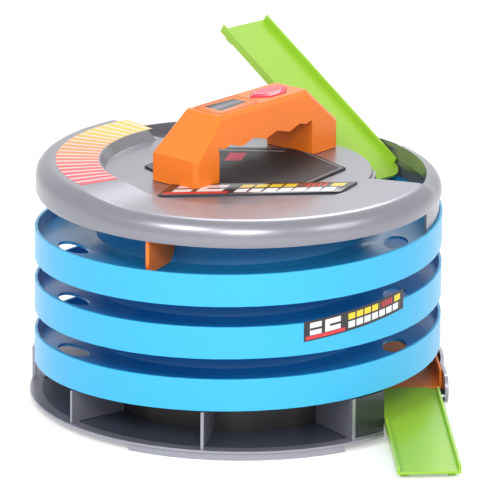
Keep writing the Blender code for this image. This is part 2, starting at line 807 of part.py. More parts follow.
def lid_section(angle):
    """Lid profile from the middle of the dish over the ring and down the wall, then back underneath."""
    share = recess_share(angle)
    drop = front_drop(angle)
    rim = LID_TOP - RIM_DROP * share - drop
    ring = LID_TOP - RECESS_DEPTH * share - drop
    shoulder = LID_RADIUS - SHOULDER
    outside = [(MIDDLE_RADIUS, DISH_TOP), (DISH_RADIUS, DISH_TOP), (RING_INNER, ring),
               (shoulder - RIM_STEP, ring), (shoulder, rim)]
    for step in range(1, 5):
        turn = math.radians(90.0 * step / 4)
        outside.append((shoulder + SHOULDER * math.sin(turn), rim - SHOULDER * (1 - math.cos(turn))))
    outside.append((LID_RADIUS, LID_BOTTOM + CURL_HEIGHT))
    outside.append((LID_RADIUS - SKIRT_CURL, LID_BOTTOM))
    inner_radius = LID_RADIUS - LID_WALL
    inner_turn = SHOULDER - LID_WALL
    inside = [(inner_radius - SKIRT_CURL, LID_BOTTOM), (inner_radius, LID_BOTTOM + CURL_HEIGHT)]
    for step in range(4, 0, -1):
        turn = math.radians(90.0 * step / 4)
        inside.append((shoulder + inner_turn * math.sin(turn),
                       rim - LID_WALL - inner_turn * (1 - math.cos(turn))))
    back = BACK_SHIFT[0] - BACK_SHIFT[1] * share
    inside.append((shoulder + RIM_WALL[0], rim - LID_WALL))
    inside.append((shoulder + RIM_WALL[1], ring - LID_WALL))
    inside.append((RING_INNER + back, ring - LID_WALL))
    inside.append((DISH_RADIUS + back, DISH_UNDER))
    inside.append((MIDDLE_RADIUS, DISH_UNDER))
    return outside + inside


def lid_shell():
    """Silver lid with its ring, dish, recessed back, car opening, liner and locating rib."""
    item = finish("lid_shell", capped_turn(lid_section, 120), silver())
    outer = LID_RADIUS - SHOULDER - BOSS_TRIM
    start = RECESS_START + RECESS_RAMP + 1.0
    cut(item, sector(RING_INNER - RING_INSET, outer, start, OPENING_END, LID_BOTTOM, LID_TOP + EPS, 20))
    join_locating_rib(item)
    fit_upper_ramp(item)
    for angle in SCREW_ANGLES:
        boss = rod_mesh(BOSS_RADIUS - BOSS_TRIM, plan(SCREW_RING, angle, TOWER_TOP + GAP),
                        plan(SCREW_RING, angle, DISH_UNDER + EPS))
        join(item, boss)
        cut(item, screw_hole(angle, TOWER_TOP - EPS, DISH_UNDER - LID_HOLE_TOP))
    for x, y in handle_screw_spots():
        cut(item, rod_mesh(SCREW_RADIUS + GAP, (x, y, DISH_UNDER - EPS), (x, y, DISH_TOP + EPS)))
    reach = ROD_LENGTH / 2 + ROD_HOLE_GAP
    side = ROD_HALF_WIDTH + ROD_HOLE_GAP
    hole = box_outline(ROD_PLACE - reach, ROD_PLACE + reach, -side, side)
    cut(item, prism(hole, -2 * LID_WALL, EPS), handle_frame())
    join_gate_brackets(item)
    return item


def join_locating_rib(item):
    """Rib under the dish that stands on the sleeve, left open at the car opening and at the gate lever."""
    low, high = TOWER_TOP + GAP, DISH_UNDER + EPS
    start = GATE_ANGLE + RIB_NOTCH_HALF
    end = GATE_ANGLE - RIB_NOTCH_HALF + 360.0
    join(item, sector(SLEEVE_INNER, SLEEVE_OUTER, start, RIB_ANGLES[0], low, high, 30))
    join(item, sector(SLEEVE_INNER, SLEEVE_OUTER, RIB_ANGLES[1], end, low, high, 36))


def fit_upper_ramp(item):
    """The slot, liner, relief, ear and pin bore of the upper ramp in the lid."""
    frame = upper_ramp_frame()
    flat = level_frame(frame)
    half = RAMP_WIDTH / 2
    slot = box_outline(*UPPER_CUT, -half - UPPER_SIDE_ROOM, half + UPPER_SIDE_ROOM)
    cut(item, prism(slot, LID_BOTTOM, LID_TOP + EPS), flat)
    join(item, spiral(liner_section, RECESS_START - 5.0, OPENING_END - 1.0, 16))
    relief = box_outline(*LINER_RELIEF, -half - 2 * GAP, 0.0)
    cut(item, prism(relief, frame.translation.z - LINER_RELIEF_DROP, LID_TOP), flat)
    near = half + UPPER_EAR_ROOM
    ear = box_outline(-UPPER_EAR_HALF, UPPER_EAR_HALF, near, near + UPPER_EAR_WALL)
    join(item, prism(ear, TOWER_TOP + GAP, DISH_UNDER + EPS), flat)
    cut(item, pin_bore(frame, half + PIN_ENDS[1] + GAP), flat)


def liner_section(angle):
    low = floor_z(angle) + LINER_FLOOR_GAP
    high = LID_BOTTOM + LINER_OVERLAP
    return [(LINER_INNER, low), (LINER_OUTER, low), (LINER_OUTER, high), (LINER_INNER, high)]


def gate_pivot_radius():
    """The gate lever's pivot lies one reach outward of the release rod, along the gate's radius."""
    rod = handle_frame() @ Vector((ROD_PLACE, 0.0, 0.0))
    return rod.xy.dot(plan(1.0, GATE_ANGLE).xy) + GATE_REACH


def gate_frame():
    """Frame of the gate lever: X outward along the gate's radius, Y along its pivot, Z up."""
    outward = plan(1.0, GATE_ANGLE)
    along = Vector((0.0, 0.0, 1.0)).cross(outward)
    frame = Matrix((outward, along, Vector((0.0, 0.0, 1.0)))).transposed().to_4x4()
    frame.translation = outward * gate_pivot_radius()
    frame.translation.z = gate_pivot_z()
    return frame


def gate_pivot_z():
    return TOWER_TOP + GAP + GATE_ARM_LIFT + GATE_ARM_HEIGHT / 2


def join_gate_brackets(item):
    """Two brackets under the dish that carry the gate lever's pin."""
    frame = gate_frame()
    top = DISH_UNDER + EPS - frame.translation.z
    for side in (-1, 1):
        low = side * (GATE_ARM_HALF + BRACKET_GAP)
        high = side * (GATE_ARM_HALF + BRACKET_GAP + BRACKET_WALL)
        ear = box_outline(-BRACKET_HALF, BRACKET_HALF, min(low, high), max(low, high))
        join(item, prism(ear, -BRACKET_DROP, top), frame)
    cut(item, pivot_bore(), frame)


def pivot_bore():
    return rod_mesh(PIN_RADIUS + PIN_GAP, (0.0, -PIVOT_BORE_HALF, 0.0), (0.0, PIVOT_BORE_HALF, 0.0))


def handle_corners():
    """Places of the four screw bosses in the handle's feet, in the handle frame."""
    end = HANDLE_LENGTH / 2 - HANDLE_WALL - HANDLE_BOSS
    side = HANDLE_FOOT_WIDTH / 2 - HANDLE_WALL - HANDLE_BOSS
    return [(-end, side), (-end, -side), (end, side), (end, -side)]


def handle_screw_spots():
    """World plan positions of the four screws that hold the handle down."""
    frame = handle_frame()
    spots = [frame @ Vector((x, y, 0.0)) for x, y in handle_corners()]
    return [(spot.x, spot.y) for spot in spots]


def handle_outline():
    """Side view of the handle with its finger scallops, in the handle frame."""
    half = HANDLE_LENGTH / 2
    front, back = FRONT_LEG - half, half - BACK_LEG
    points = [(-half, 0.0), (front, 0.0), (front, LEG_HEIGHT)] + scallop_line(front, back)
    points += [(back, LEG_HEIGHT), (back, 0.0), (half, 0.0), (half, LEG_HEIGHT)]
    points += [(half - BACK_CHAMFER_RUN, HANDLE_HEIGHT), (CHAMFER_RUN - half, HANDLE_HEIGHT), (-half, LEG_HEIGHT)]
    return points


def scallop_line(start, end):
    """The underside of the grip, rising into rounded hollows for the fingers."""
    base = COVER_TOP - COVER_THICKNESS
    points = [(start, base)]
    steps = SCALLOPS * 4
    for step in range(1, steps):
        share = step / steps
        lift = SCALLOP_DEPTH * math.sin(math.pi * share * SCALLOPS) ** 2
        points.append((start + (end - start) * share, base - SCALLOP_DEPTH + lift))
    points.append((end, base))
    return points


def handle_cavity():
    """Hollow of the handle, open at the feet and under the grip."""
    half = HANDLE_LENGTH / 2
    wall = HANDLE_WALL
    shelf = COVER_TOP - COVER_THICKNESS - GAP
    low = HANDLE_HEIGHT - GRIP_DEPTH - SCALLOP_DEPTH * 2
    front = -half + FRONT_LEG
    back = half - BACK_LEG
    roof = HANDLE_HEIGHT - ROOF_WALL
    knee = LEG_HEIGHT - wall / 2
    run = CHAMFER_RUN + wall / 2
    back_run = BACK_CHAMFER_RUN + wall / 2
    return [(wall - half, -EPS), (front - wall, -EPS), (front - wall, shelf), (front + EPS, shelf),
            (front + EPS, low), (back - EPS, low), (back - EPS, shelf), (back + wall, shelf),
            (back + wall, -EPS), (half - wall, -EPS), (half - wall, knee), (half - back_run, roof),
            (run - half, roof), (wall - half, knee)]


def lozenge(length, width, centre):
    """A long hexagon whose points are as far out as LOZENGE_POINT says."""
    half, side = length / 2, width / 2
    inset = length * LOZENGE_POINT
    return [(centre - half, 0.0), (centre - half + inset, -side), (centre + half - inset, -side),
            (centre + half, 0.0), (centre + half - inset, side), (centre - half + inset, side)]


def handle_half(height):
    """Half of the handle's width: straight feet, and sides that lean in above them."""
    share = min(max((height - LEG_HEIGHT) / (HANDLE_HEIGHT - LEG_HEIGHT), 0.0), 1.0)
    return (HANDLE_FOOT_WIDTH + (HANDLE_WIDTH - HANDLE_FOOT_WIDTH) * share) / 2


def handle_block():
    """The handle's outside, as a block whose sides are creased at the top of each foot."""
    mesh = prism(handle_outline(), -1.0, 1.0, axis="Y")
    half = HANDLE_LENGTH / 2
    for side in (-1.0, 1.0):
        for ends in ((-half, FRONT_LEG - half), (half - BACK_LEG, half)):
            spots = [Vector((x, side, LEG_HEIGHT)) for x in ends]
            pair = [vert for vert in mesh.verts if min((vert.co - spot).length for spot in spots) < EPS]
            bmesh.ops.connect_verts(mesh, verts=pair)
    for vert in mesh.verts:
        vert.co.y *= handle_half(vert.co.z)
    bmesh.ops.recalc_face_normals(mesh, faces=mesh.faces)
    return mesh


def foot_pocket(start, end):
    """Hollow of one foot, in the handle frame."""
    side = HANDLE_FOOT_WIDTH / 2 - HANDLE_WALL
    return prism(box_outline(start + HANDLE_WALL, end - HANDLE_WALL, -side, side), -EPS, LEG_HEIGHT - HANDLE_WALL)


def handle_shell():
    """Hollow orange carry handle with a hole for the button."""
    half = HANDLE_WIDTH / 2
    long = HANDLE_LENGTH / 2
    frame = handle_frame()
    mesh = handle_block()
    long_edges = [edge for edge in mesh.edges if is_top_edge(edge)]
    bmesh.ops.bevel(mesh, geom=long_edges, offset=HANDLE_EDGE, segments=1, affect="EDGES", profile=0.5)
    item = finish("handle_shell", mesh, orange(), frame)
    inner = half - HANDLE_WALL
    cut(item, prism(handle_cavity(), -inner, inner, axis="Y"), frame)
    cut(item, foot_pocket(-long, FRONT_LEG - long), frame)
    cut(item, foot_pocket(long - BACK_LEG, long), frame)
    hole = lozenge(BUTTON_LENGTH + 2 * GAP, BUTTON_WIDTH + 2 * GAP, BUTTON_PLACE)
    cut(item, prism(hole, HANDLE_HEIGHT - 2 * HANDLE_WALL, HANDLE_HEIGHT + EPS), frame)
    for x, y in handle_corners():
        join(item, prism(corner_block(x, y), GAP, HANDLE_BOSS_HEIGHT), frame)
        cut(item, rod_mesh(SCREW_RADIUS + GAP, (x, y, -EPS), (x, y, HANDLE_HOLE_HEIGHT)), frame)
    return item


def corner_block(x, y):
    """Square boss outline around a screw, reaching into the two walls behind it."""
    sides = []
    for place in (x, y):
        into = place + math.copysign(HANDLE_BOSS_HALF, place)
        away = place - math.copysign(HANDLE_BOSS_HALF - GAP, place)
        sides.append((min(into, away), max(into, away)))
    return box_outline(*sides[0], *sides[1])


def is_top_edge(edge):
    """Edges of the side outline that run along the handle's outside, above the feet."""
    first, second = (vert.co for vert in edge.verts)
    if first.y * second.y < 0.0:
        return False
    half = HANDLE_LENGTH / 2
    on_top = min(first.z, second.z) > LEG_HEIGHT - EPS and max(first.z, second.z) > HANDLE_HEIGHT - EPS
    on_end = abs(abs(first.x) - half) < EPS and abs(abs(second.x) - half) < EPS
    return on_top or on_end


def grip_cover():
    """Plate that closes the grip from below and carries the release bar."""
    half = HANDLE_LENGTH / 2
    front = -half + FRONT_LEG - HANDLE_WALL
    back = half - BACK_LEG + HANDLE_WALL
    inner = HANDLE_WIDTH / 2 - HANDLE_WALL - GAP
    low = COVER_TOP - COVER_THICKNESS
    frame = handle_frame()
    plate = prism(box_outline(front, back, -inner, inner), low, COVER_TOP)
    item = finish("grip_cover", plate, orange(), frame)
    end = BUTTON_PLACE - BUTTON_LENGTH / 2
    for side in (-1, 1):
        near = side * (BAR_HALF_WIDTH + GAP)
        far = side * (BAR_HALF_WIDTH + GAP + RAIL_WALL)
        rail = box_outline(front + RAIL_INSET, end, min(near, far), max(near, far))
        join(item, prism(rail, COVER_TOP - EPS, COVER_TOP + RAIL_HEIGHT), frame)
    return item


def button():
    """Red release button: a crowned lozenge on a flange, with a wedge below."""
    top = HANDLE_HEIGHT + BUTTON_CROWN
    edge = HANDLE_HEIGHT + BUTTON_CROWN * CROWN_START
    outline = lozenge(BUTTON_LENGTH, BUTTON_WIDTH, BUTTON_PLACE)
    crown = lozenge(BUTTON_LENGTH * CROWN_SHARE[0], BUTTON_WIDTH * CROWN_SHARE[1], BUTTON_PLACE)
    rings = []
    for points, level in ((outline, FLANGE_TOP - EPS), (outline, edge), (crown, top)):
        rings.append([Vector((x, y, level)) for x, y in points])
    frame = handle_frame()
    item = finish("button", ring_loft(rings, closed=False), button_red(), frame)
    flange = lozenge(BUTTON_LENGTH + 2 * FLANGE_EDGE, BUTTON_WIDTH + 2 * FLANGE_EDGE, BUTTON_PLACE)
    join(item, prism(flange, FLANGE_UNDER, FLANGE_TOP), frame)
    join(item, prism(wedge_outline(), -BAR_HALF_WIDTH, BAR_HALF_WIDTH, axis="Y"), frame)
    return item


def cam_sum():
    """Place plus height on the bar's 45 degree face under the button."""
    return BUTTON_PLACE - CAM_SETBACK + COVER_TOP + GAP


def wedge_outline():
    """Side view of the button's wedge, whose 45 degree face rides on the bar's."""
    high = FLANGE_UNDER + EPS
    face = cam_sum() + CAM_GAP
    low = COVER_TOP + GAP + BUTTON_TRAVEL + GAP
    right = BUTTON_PLACE + CAM_SETBACK
    return [(face - high, high), (face - low, low), (right, low), (right, high)]


def roof_slope():
    """Rise over run of the handle's sloping ends."""
    return (HANDLE_HEIGHT - LEG_HEIGHT) / CHAMFER_RUN


def release_bar():
    """Bar inside the grip: the button drives it forward, and its nose drives the rod down."""
    low = COVER_TOP + GAP
    high = low + BAR_THICKNESS
    back_high = FLANGE_UNDER - BUTTON_TRAVEL - GAP
    face = cam_sum() - back_high
    nose_x, nose_z = nose_corner()
    wall_face = -HANDLE_LENGTH / 2 + FRONT_LEG - HANDLE_WALL - CAM_GAP
    nose_top = nose_z + NOSE_FLAT
    hump = face - BAR_HUMP
    outline = [
        (nose_x, nose_z),
        (wall_face, nose_z - (wall_face - nose_x)),
        (wall_face, low),
        (cam_sum() - low, low),
        (face, back_high),
        (hump, back_high),
        (hump - (back_high - high), high),
        (nose_x + (high - nose_top) / roof_slope(), high),
        (nose_x, nose_top),
    ]
    mesh = prism(outline, -BAR_HALF_WIDTH, BAR_HALF_WIDTH, axis="Y")
    return finish("release_bar", mesh, grey(), handle_frame())


def nose_corner():
    """Front end of the bar's 45 degree nose face, which still clears the roof after the full travel."""
    x = ROD_PLACE - ROD_LENGTH / 2 + NOSE_SETBACK
    run = x - BUTTON_TRAVEL + HANDLE_LENGTH / 2
    roof = LEG_HEIGHT - HANDLE_WALL * ROOF_LOSS + roof_slope() * run
    return (x, roof - NOSE_DROP)


def release_rod():
    """Upright rod in the front leg, with a small toe under the lid that presses the gate lever."""
    frame = handle_frame()
    nose_x, nose_z = nose_corner()
    left = ROD_PLACE - ROD_LENGTH / 2
    right = ROD_PLACE + ROD_LENGTH / 2
    face = nose_x + nose_z - CAM_GAP
    low = gate_pivot_z() + GATE_ARM_HEIGHT / 2 + GAP - HANDLE_Z
    shoulder = low + TOE_HEIGHT
    outline = [(left, shoulder), (right, shoulder), (right, face - right), (nose_x, face - nose_x),
               (left, face - nose_x)]
    mesh = prism(outline, -ROD_HALF_WIDTH, ROD_HALF_WIDTH, axis="Y")
    item = finish("release_rod", mesh, grey(), frame)
    toe = box_outline(ROD_PLACE - TOE_HALF, ROD_PLACE + TOE_HALF, -TOE_HALF, TOE_HALF)
    return join(item, prism(toe, low, shoulder + EPS), frame)


def gate_lever():
    """Lever under the lid: the rod presses its inner end, and its outer end lifts the gate."""
    frame = gate_frame()
    half = GATE_ARM_HALF
    thick = GATE_ARM_HEIGHT / 2
    outline = box_outline(-GATE_REACH, LANE_INNER + GATE_ARM_END - gate_pivot_radius(), -thick, thick)
    item = finish("gate_lever", prism(outline, -half, half, axis="Y"), grey(), frame)
    pad = box_outline(-GATE_REACH - PAD_HALF, -GATE_REACH + PAD_HALF, -PAD_LENGTH, half)
    join(item, prism(pad, -thick, thick), frame)
    return cut(item, pivot_bore(), frame)


def start_gate():
    """Orange plate that hangs across the top lane and holds the cars back."""
    frame = gate_frame()
    pivot = gate_pivot_radius()
    height = frame.translation.z
    inner = LANE_INNER + GATE_EDGE_ROOM[0] - pivot
    outer = LANE_OUTER - GATE_EDGE_ROOM[1] - pivot
    floor = floor_z(GATE_ANGLE) - height
    low = floor + GATE_CLEAR
    high = LID_TOP - LID_WALL - GATE_TOP_DROP - height
    corner = GATE_CORNER
    points = [(inner, floor + CURB_HEIGHT + GATE_CURB_ROOM[1]),
              (LANE_INNER + CURB_WIDTH + GATE_CURB_ROOM[0] - pivot, low), (outer - corner, low)]
    for step in range(1, 5):
        turn = math.radians(90.0 * step / 4)
        points.append((outer - corner + corner * math.sin(turn), low + corner * (1 - math.cos(turn))))
    points += [(outer, high), (inner, high)]
    half = GATE_THICKNESS / 2
    item = finish("start_gate", prism(points, -half, half, axis="Y"), orange(), frame)
    arm = GATE_ARM_HEIGHT / 2 + GAP
    slot = box_outline(inner - EPS, LANE_INNER + GATE_ARM_END + GAP - pivot, -arm, arm)
    return cut(item, prism(slot, -2 * GATE_THICKNESS, 2 * GATE_THICKNESS, axis="Y"), frame)


def pin(name, frame, reach_low, reach_high):
    mesh = rod_mesh(PIN_RADIUS, (0.0, reach_low, 0.0), (0.0, reach_high, 0.0))
    return finish(name, mesh, steel(), frame)


def ramp_outline(start, end):
    """Plan of a ramp, with rounded corners at its pivot end."""
    half = RAMP_WIDTH / 2
    corner = []
    for step in range(5):
        turn = math.radians(90.0 * step / 4)
        corner.append((start + RAMP_CORNER * (1 - math.sin(turn)), half - RAMP_CORNER * (1 - math.cos(turn))))
    mirrored = [(x, -y) for x, y in reversed(corner)]
    return [(end, -half), (end, half)] + corner + mirrored


def hook_outline(end):
    """Side view of a small hook under the ramp's far end."""
    back, gap, front = (end - reach for reach in HOOK_REACH)
    low = RAMP_LIFT - HOOK_LENGTH
    high = RAMP_LIFT + EPS
    lip = low + HOOK_THICKNESS
    return [(back, high), (back, low), (front, low), (front, lip), (gap, lip), (gap, high)]


def ramp(name, frame, length):
    """Green ramp with side lips, rounded lower corners, hooks at the far end and a pivot knuckle."""
    half = RAMP_WIDTH / 2
    top = RAMP_LIFT + RAMP_THICKNESS
    start = -RAMP_OVERHANG
    end = length + start
    item = finish(name, prism(ramp_outline(start, end), RAMP_LIFT, top), ramp_green(), frame)
    for side in (-1, 1):
        near = side * (half - RAMP_LIP_WIDTH)
        far = side * half
        lip = box_outline(start + RAMP_CORNER, end, min(near, far), max(near, far))
        join(item, prism(lip, top - EPS, top + RAMP_LIP_HEIGHT), frame)
        middle = side * (half - HOOK_INSET)
        hook = prism(hook_outline(end), middle - HOOK_HALF_WIDTH, middle + HOOK_HALF_WIDTH, axis="Y")
        join(item, hook, frame)
    width = half - KNUCKLE_INSET
    join(item, rod_mesh(KNUCKLE_RADIUS, (0.0, -width, 0.0), (0.0, width, 0.0), 20), frame)
    bore = rod_mesh(PIN_RADIUS + PIN_GAP, (0.0, -half - EPS, 0.0), (0.0, half + EPS, 0.0))
    return cut(item, bore, frame)


def deck_plate():
    """Black plate with six corners on the dish, cut out around the handle's feet."""
    long, wide, flat = DECK_HALF_LENGTH, DECK_HALF_WIDTH, DECK_FLAT
    outline = [(-long, 0.0), (-flat, -wide), (flat, -wide), (long, 0.0), (flat, wide), (-flat, wide)]
    outline = [(x + DECK_CENTRE_X, y) for x, y in outline]
    low = DISH_TOP + GAP
    item = finish("deck_plate", prism(outline, low, low + DECK_THICKNESS), deck_black())
    half = HANDLE_LENGTH / 2
    side = HANDLE_FOOT_WIDTH / 2 + GAP
    frame = handle_frame()
    front = box_outline(-half - HANDLE_WIDTH, -half + FRONT_LEG + GAP, -side, side)
    back = box_outline(half - BACK_LEG - GAP, half + HANDLE_WIDTH, -side, side)
    for foot in (front, back):
        cut(item, prism(foot, -2 * DECK_THICKNESS, 4 * DECK_THICKNESS), frame)
    return item


def button_spring():
    """Return spring between the grip cover and the button."""
    low = COVER_TOP + GAP + SPRING_WIRE
    high = FLANGE_UNDER - GAP - SPRING_WIRE
    curve = bpy.data.curves.new("button_spring", "CURVE")
    curve.dimensions = "3D"
    curve.bevel_depth = SPRING_WIRE
    curve.bevel_resolution = 1
    curve.use_fill_caps = True
    line = curve.splines.new("POLY")
    count = SPRING_CURLS * SPRING_POINTS
    line.points.add(count)
    centre = BUTTON_PLACE + SPRING_SETBACK
    for step in range(count + 1):
        turn = 2 * math.pi * step / SPRING_POINTS
        level = low + (high - low) * step / count
        across = SPRING_RADIUS * math.sin(turn)
        line.points[step].co = (centre + SPRING_RADIUS * math.cos(turn), across, level, 1.0)
    curve.materials.append(steel())
    item = bpy.data.objects.new("button_spring", curve)
    bpy.context.collection.objects.link(item)
    item.matrix_world = handle_frame()
    return item


def screw(name, spot, head_z, tip_z):
    """Headed screw along Z, its head at head_z and its shank towards tip_z."""
    step = 1.0 if tip_z > head_z else -1.0
    x, y = spot
    head_end = head_z + step * SCREW_HEAD
    item = finish(name, rod_mesh(SCREW_HEAD_RADIUS, (x, y, head_z), (x, y, head_end), HEAD_SIDES), steel())
    return join(item, rod_mesh(SCREW_RADIUS, (x, y, head_end - step * EPS), (x, y, tip_z), SHANK_SIDES))


def screws():
    """Screws that tie the base, the sleeve, the lid and the handle together."""
    for number, angle in enumerate(SCREW_ANGLES, 1):
        spot = plan(SCREW_RING, angle)
        low = FOOT_HEIGHT - GAP - SCREW_HEAD
        screw("base_screw_%d" % number, (spot.x, spot.y), low, PLATE_TOP + BASE_SCREW_REACH)
        high = TOWER_TOP - LUG_HEIGHT - GAP - SCREW_HEAD
        screw("lid_screw_%d" % number, (spot.x, spot.y), high, DISH_UNDER - LID_SCREW_TOP)
    for number, spot in enumerate(handle_screw_spots(), 1):
        low = DISH_UNDER - GAP - SCREW_HEAD
        screw("handle_screw_%d" % number, spot, low, HANDLE_Z + HANDLE_SCREW_REACH)


def pins():
    """Hinge pins of the two ramps and the gate lever."""
    half = RAMP_WIDTH / 2
    arm = GATE_ARM_HALF + BRACKET_GAP + BRACKET_WALL - GAP
    pin("upper_ramp_pin", upper_ramp_frame(), -half - PIN_ENDS[0], half + PIN_ENDS[1])
    pin("lower_ramp_pin", lower_ramp_frame(), -half - PIN_ENDS[1], half + PIN_ENDS[2])
    pin("gate_lever_pin", gate_frame(), -arm, arm)


def shade():
    """Smooth shading with sharp edges on every finished piece."""
    for item in bpy.data.objects:
        if item.type == "MESH":
            item.data.shade_smooth()
            item.data.set_sharp_from_angle(angle=math.radians(35.0))


def clear_scene():
    for item in list(bpy.data.objects):
        bpy.data.objects.remove(item)


def build():
    clear_scene()
    base_tray()
    core_sleeve()
    for index in range(TIERS):
        track_tier(index)
    exit_chute()
    lid_shell()
    deck_plate()
    handle_shell()
    grip_cover()
    button()
    button_spring()
    release_bar()
    release_rod()
    gate_lever()
    start_gate()
    ramp("upper_ramp", upper_ramp_frame(), UPPER_RAMP_LENGTH)
    ramp("lower_ramp", lower_ramp_frame(), LOWER_RAMP_LENGTH)
    pins()
    screws()
    shade()


build()
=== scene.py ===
import math

import bmesh
import bpy
from mathutils import Matrix, Vector


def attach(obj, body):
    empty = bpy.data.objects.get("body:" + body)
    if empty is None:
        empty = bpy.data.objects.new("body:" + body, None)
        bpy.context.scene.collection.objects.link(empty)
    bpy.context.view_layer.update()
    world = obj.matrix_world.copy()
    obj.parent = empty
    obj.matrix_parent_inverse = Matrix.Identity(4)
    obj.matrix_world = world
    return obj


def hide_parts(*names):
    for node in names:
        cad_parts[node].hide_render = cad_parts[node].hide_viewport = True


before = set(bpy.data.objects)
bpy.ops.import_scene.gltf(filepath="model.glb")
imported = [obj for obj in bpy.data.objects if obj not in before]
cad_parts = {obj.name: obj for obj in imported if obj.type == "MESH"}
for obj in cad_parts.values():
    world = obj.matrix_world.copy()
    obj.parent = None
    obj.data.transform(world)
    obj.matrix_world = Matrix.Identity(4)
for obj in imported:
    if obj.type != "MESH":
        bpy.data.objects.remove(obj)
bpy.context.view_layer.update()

bl_info = {
    "name": "Toy garage looks",
    "version": (1, 0, 0),
    "blender": (4, 5, 0),
    "location": "3D View > Sidebar > Garage",
    "description": "Dresses the solids of a toy garage with moulded detail, labels and plastic finishes",
    "category": "Object",
}

# Sizes in metres, and plan angles in degrees from the front towards the right

MM = 0.001
MERGE_DISTANCE = 0.000005
FLAT_ANGLE = 0.4

TOWER_RADIUS = 0.1500
DISH_TOP = 0.1750
RING_TOP = 0.1820
RING_RADII = (0.1030, 0.1345)
RING_ANGLES = (-141.0, -58.0)

HANDLE_CENTRE = Vector((0.0045, 0.0140, 0.1753))
HANDLE_TURN = 49.0
HANDLE_HEIGHT = 0.0485
PANEL_SINK = 0.0002
PANEL_RISE = 0.0005

PLATE_CORNERS = [(-0.0590, -0.0763), (0.0735, -0.0630), (0.0865, -0.0370), (-0.0485, -0.0480)]
PLATE_HEIGHT = 0.0016
PLATE_SLANT = 0.371
PLATE_SLOPE = 0.1004
PLATE_PRINT = (0.1325, 0.0260)

SIDE_ANGLES = (18.5, 53.0)
SIDE_FOOT = 0.0815
SIDE_HEIGHT = 0.0150
SIDE_SLOPE = 0.113
SIDE_PRINT_START = 0.0480
SIDE_PRINT_LENGTH = 0.0920

# Edges between two colours or between a colour and its painted shade, each from where it starts to where it
# ends

LANE_EDGE = (0.1472, 0.1480)
BAY_EDGE = (0.1440, 0.1448)
BAY_FLOOR_EDGE = (0.0050, 0.0056)
BAY_CEILING_EDGE = (0.0080, 0.0086)
HUB_EDGE = (0.1040, 0.1046)
HUB_FOOT_EDGE = (0.0068, 0.0074)
CLOSED_BAY_EDGE = (0.1465, 0.1475)
CLOSED_BAY_FOOT_EDGE = (0.0078, 0.0084)
PANEL_INNER_EDGE = (0.0112, 0.0114)
PANEL_OUTER_EDGE = (0.0122, 0.0124)
BADGE_BAR_EDGE = (0.0034, 0.0036)
STRIP_END_EDGE = (0.030, 0.028)

# Print on the base, the deck and the grip

CLOSED_BAY_ANGLES = (34.9, 45.6)
DECK_MIDDLE = 0.0045
DECK_SLANT = (0.84, 0.55)
DECK_SLANT_SIZE = 0.0622
DECK_HALF_WIDTH = 0.0520
DECK_LINE = (0.945, 0.965)
RED_FOOT = 0.0164
RED_LENGTH = 0.0205
RED_LEFT = -0.0145
RED_WIDTH = 0.0125
RED_LEAN = 0.21
STRIP_MIDDLE = 0.0440
STRIP_LEAN = 0.05
STRIP_HALF_WIDTH = 0.0012
PANEL_INNER = (-0.0420, 0.0008)
PANEL_OUTER = (-0.0432, 0.0020)
BADGE_LENGTH = (-0.0370, -0.0060)
BADGE_WIDTH = (-0.0100, 0.0052)
BADGE_TAPER = 0.10
BADGE_BARS = 260.0
BADGE_BAR_LEAN = 40.0
BADGE_BAR = (0.12, 0.70)

# Racing label, in shares of its length and height

SPAN_SOFT = 0.003
ROW_SOFT = 0.02
BLOCKS = 6.0
BLOCK = (0.10, 0.92)
BLOCK_SPAN = (0.055, 0.345)
BLOCK_ROW = (0.27, 0.88)
SLIT = (0.34, 1.0)
SLIT_ROW = (0.50, 0.62)
WORDS = 13.0
WORD = (0.08, 0.90)
FINE_MARKS = 34.0
FINE_MARK = (0.10, 0.62)
UPPER_ROW = (0.56, 0.86)
LOWER_ROW = (0.14, 0.46)
BAND_SPAN = (0.02, 0.36)
BAND_ROW = (0.07, 0.24)
UPPER_WORDS_SPAN = (0.38, 0.70)
FINE_MARKS_SPAN = (0.72, 0.85)
END_MARK_SPAN = (0.87, 0.94)
LOWER_WORDS_SPAN = (0.38, 0.93)

# Ring stripes, in degrees

STRIPE_TURN = 4.1
HOT_TURN = (-143.0, -60.0)

# Texture scales, per metre

CLOUD_SCALE = 22.0
SMUDGE_SCALE = 60.0
SCUFF_SCALE = 420.0
PEEL_SCALE = 900.0
WAVE_SCALE = 90.0
FLAKE_SCALE = 2600.0
LABEL_SMUDGE_SCALE = 80.0

# Colours that several prints share

PRINT_BLACK = (0.012, 0.010, 0.014)
PRINT_WHITE = (0.86, 0.86, 0.88)
PRINT_YELLOW = (0.90, 0.66, 0.02)

# Light and camera

LAMPS = [
    ("key_lamp", (-0.9, -1.3, 1.5), 0.9, 14.0),
    ("front_lamp", (0.1, -1.9, 1.25), 0.8, 16.0),
    ("side_lamp", (1.4, -0.9, 0.9), 0.8, 5.0),
    ("back_lamp", (0.2, 1.3, 1.4), 0.8, 8.0),
]
LAMP_AIM = Vector((0.0, 0.0, 0.1))
WORLD_LIGHT = 0.62
FLOOR_SIZE = 8.0
FLOOR_DROP = 0.0001
FLOOR_GLOW = 0.32
CAMERA_DISTANCE = 5.0
CAMERA_RISE = 18.12
CAMERA_ROLL = 0.50
CAMERA_YAW = -0.10
CAMERA_PITCH = 1.234
FOCAL_PIXELS = 6742.0
PHOTO_PIXELS = 500.0
SENSOR_WIDTH = 36.0
FAR_CLIP = 100.0


# Shader tools

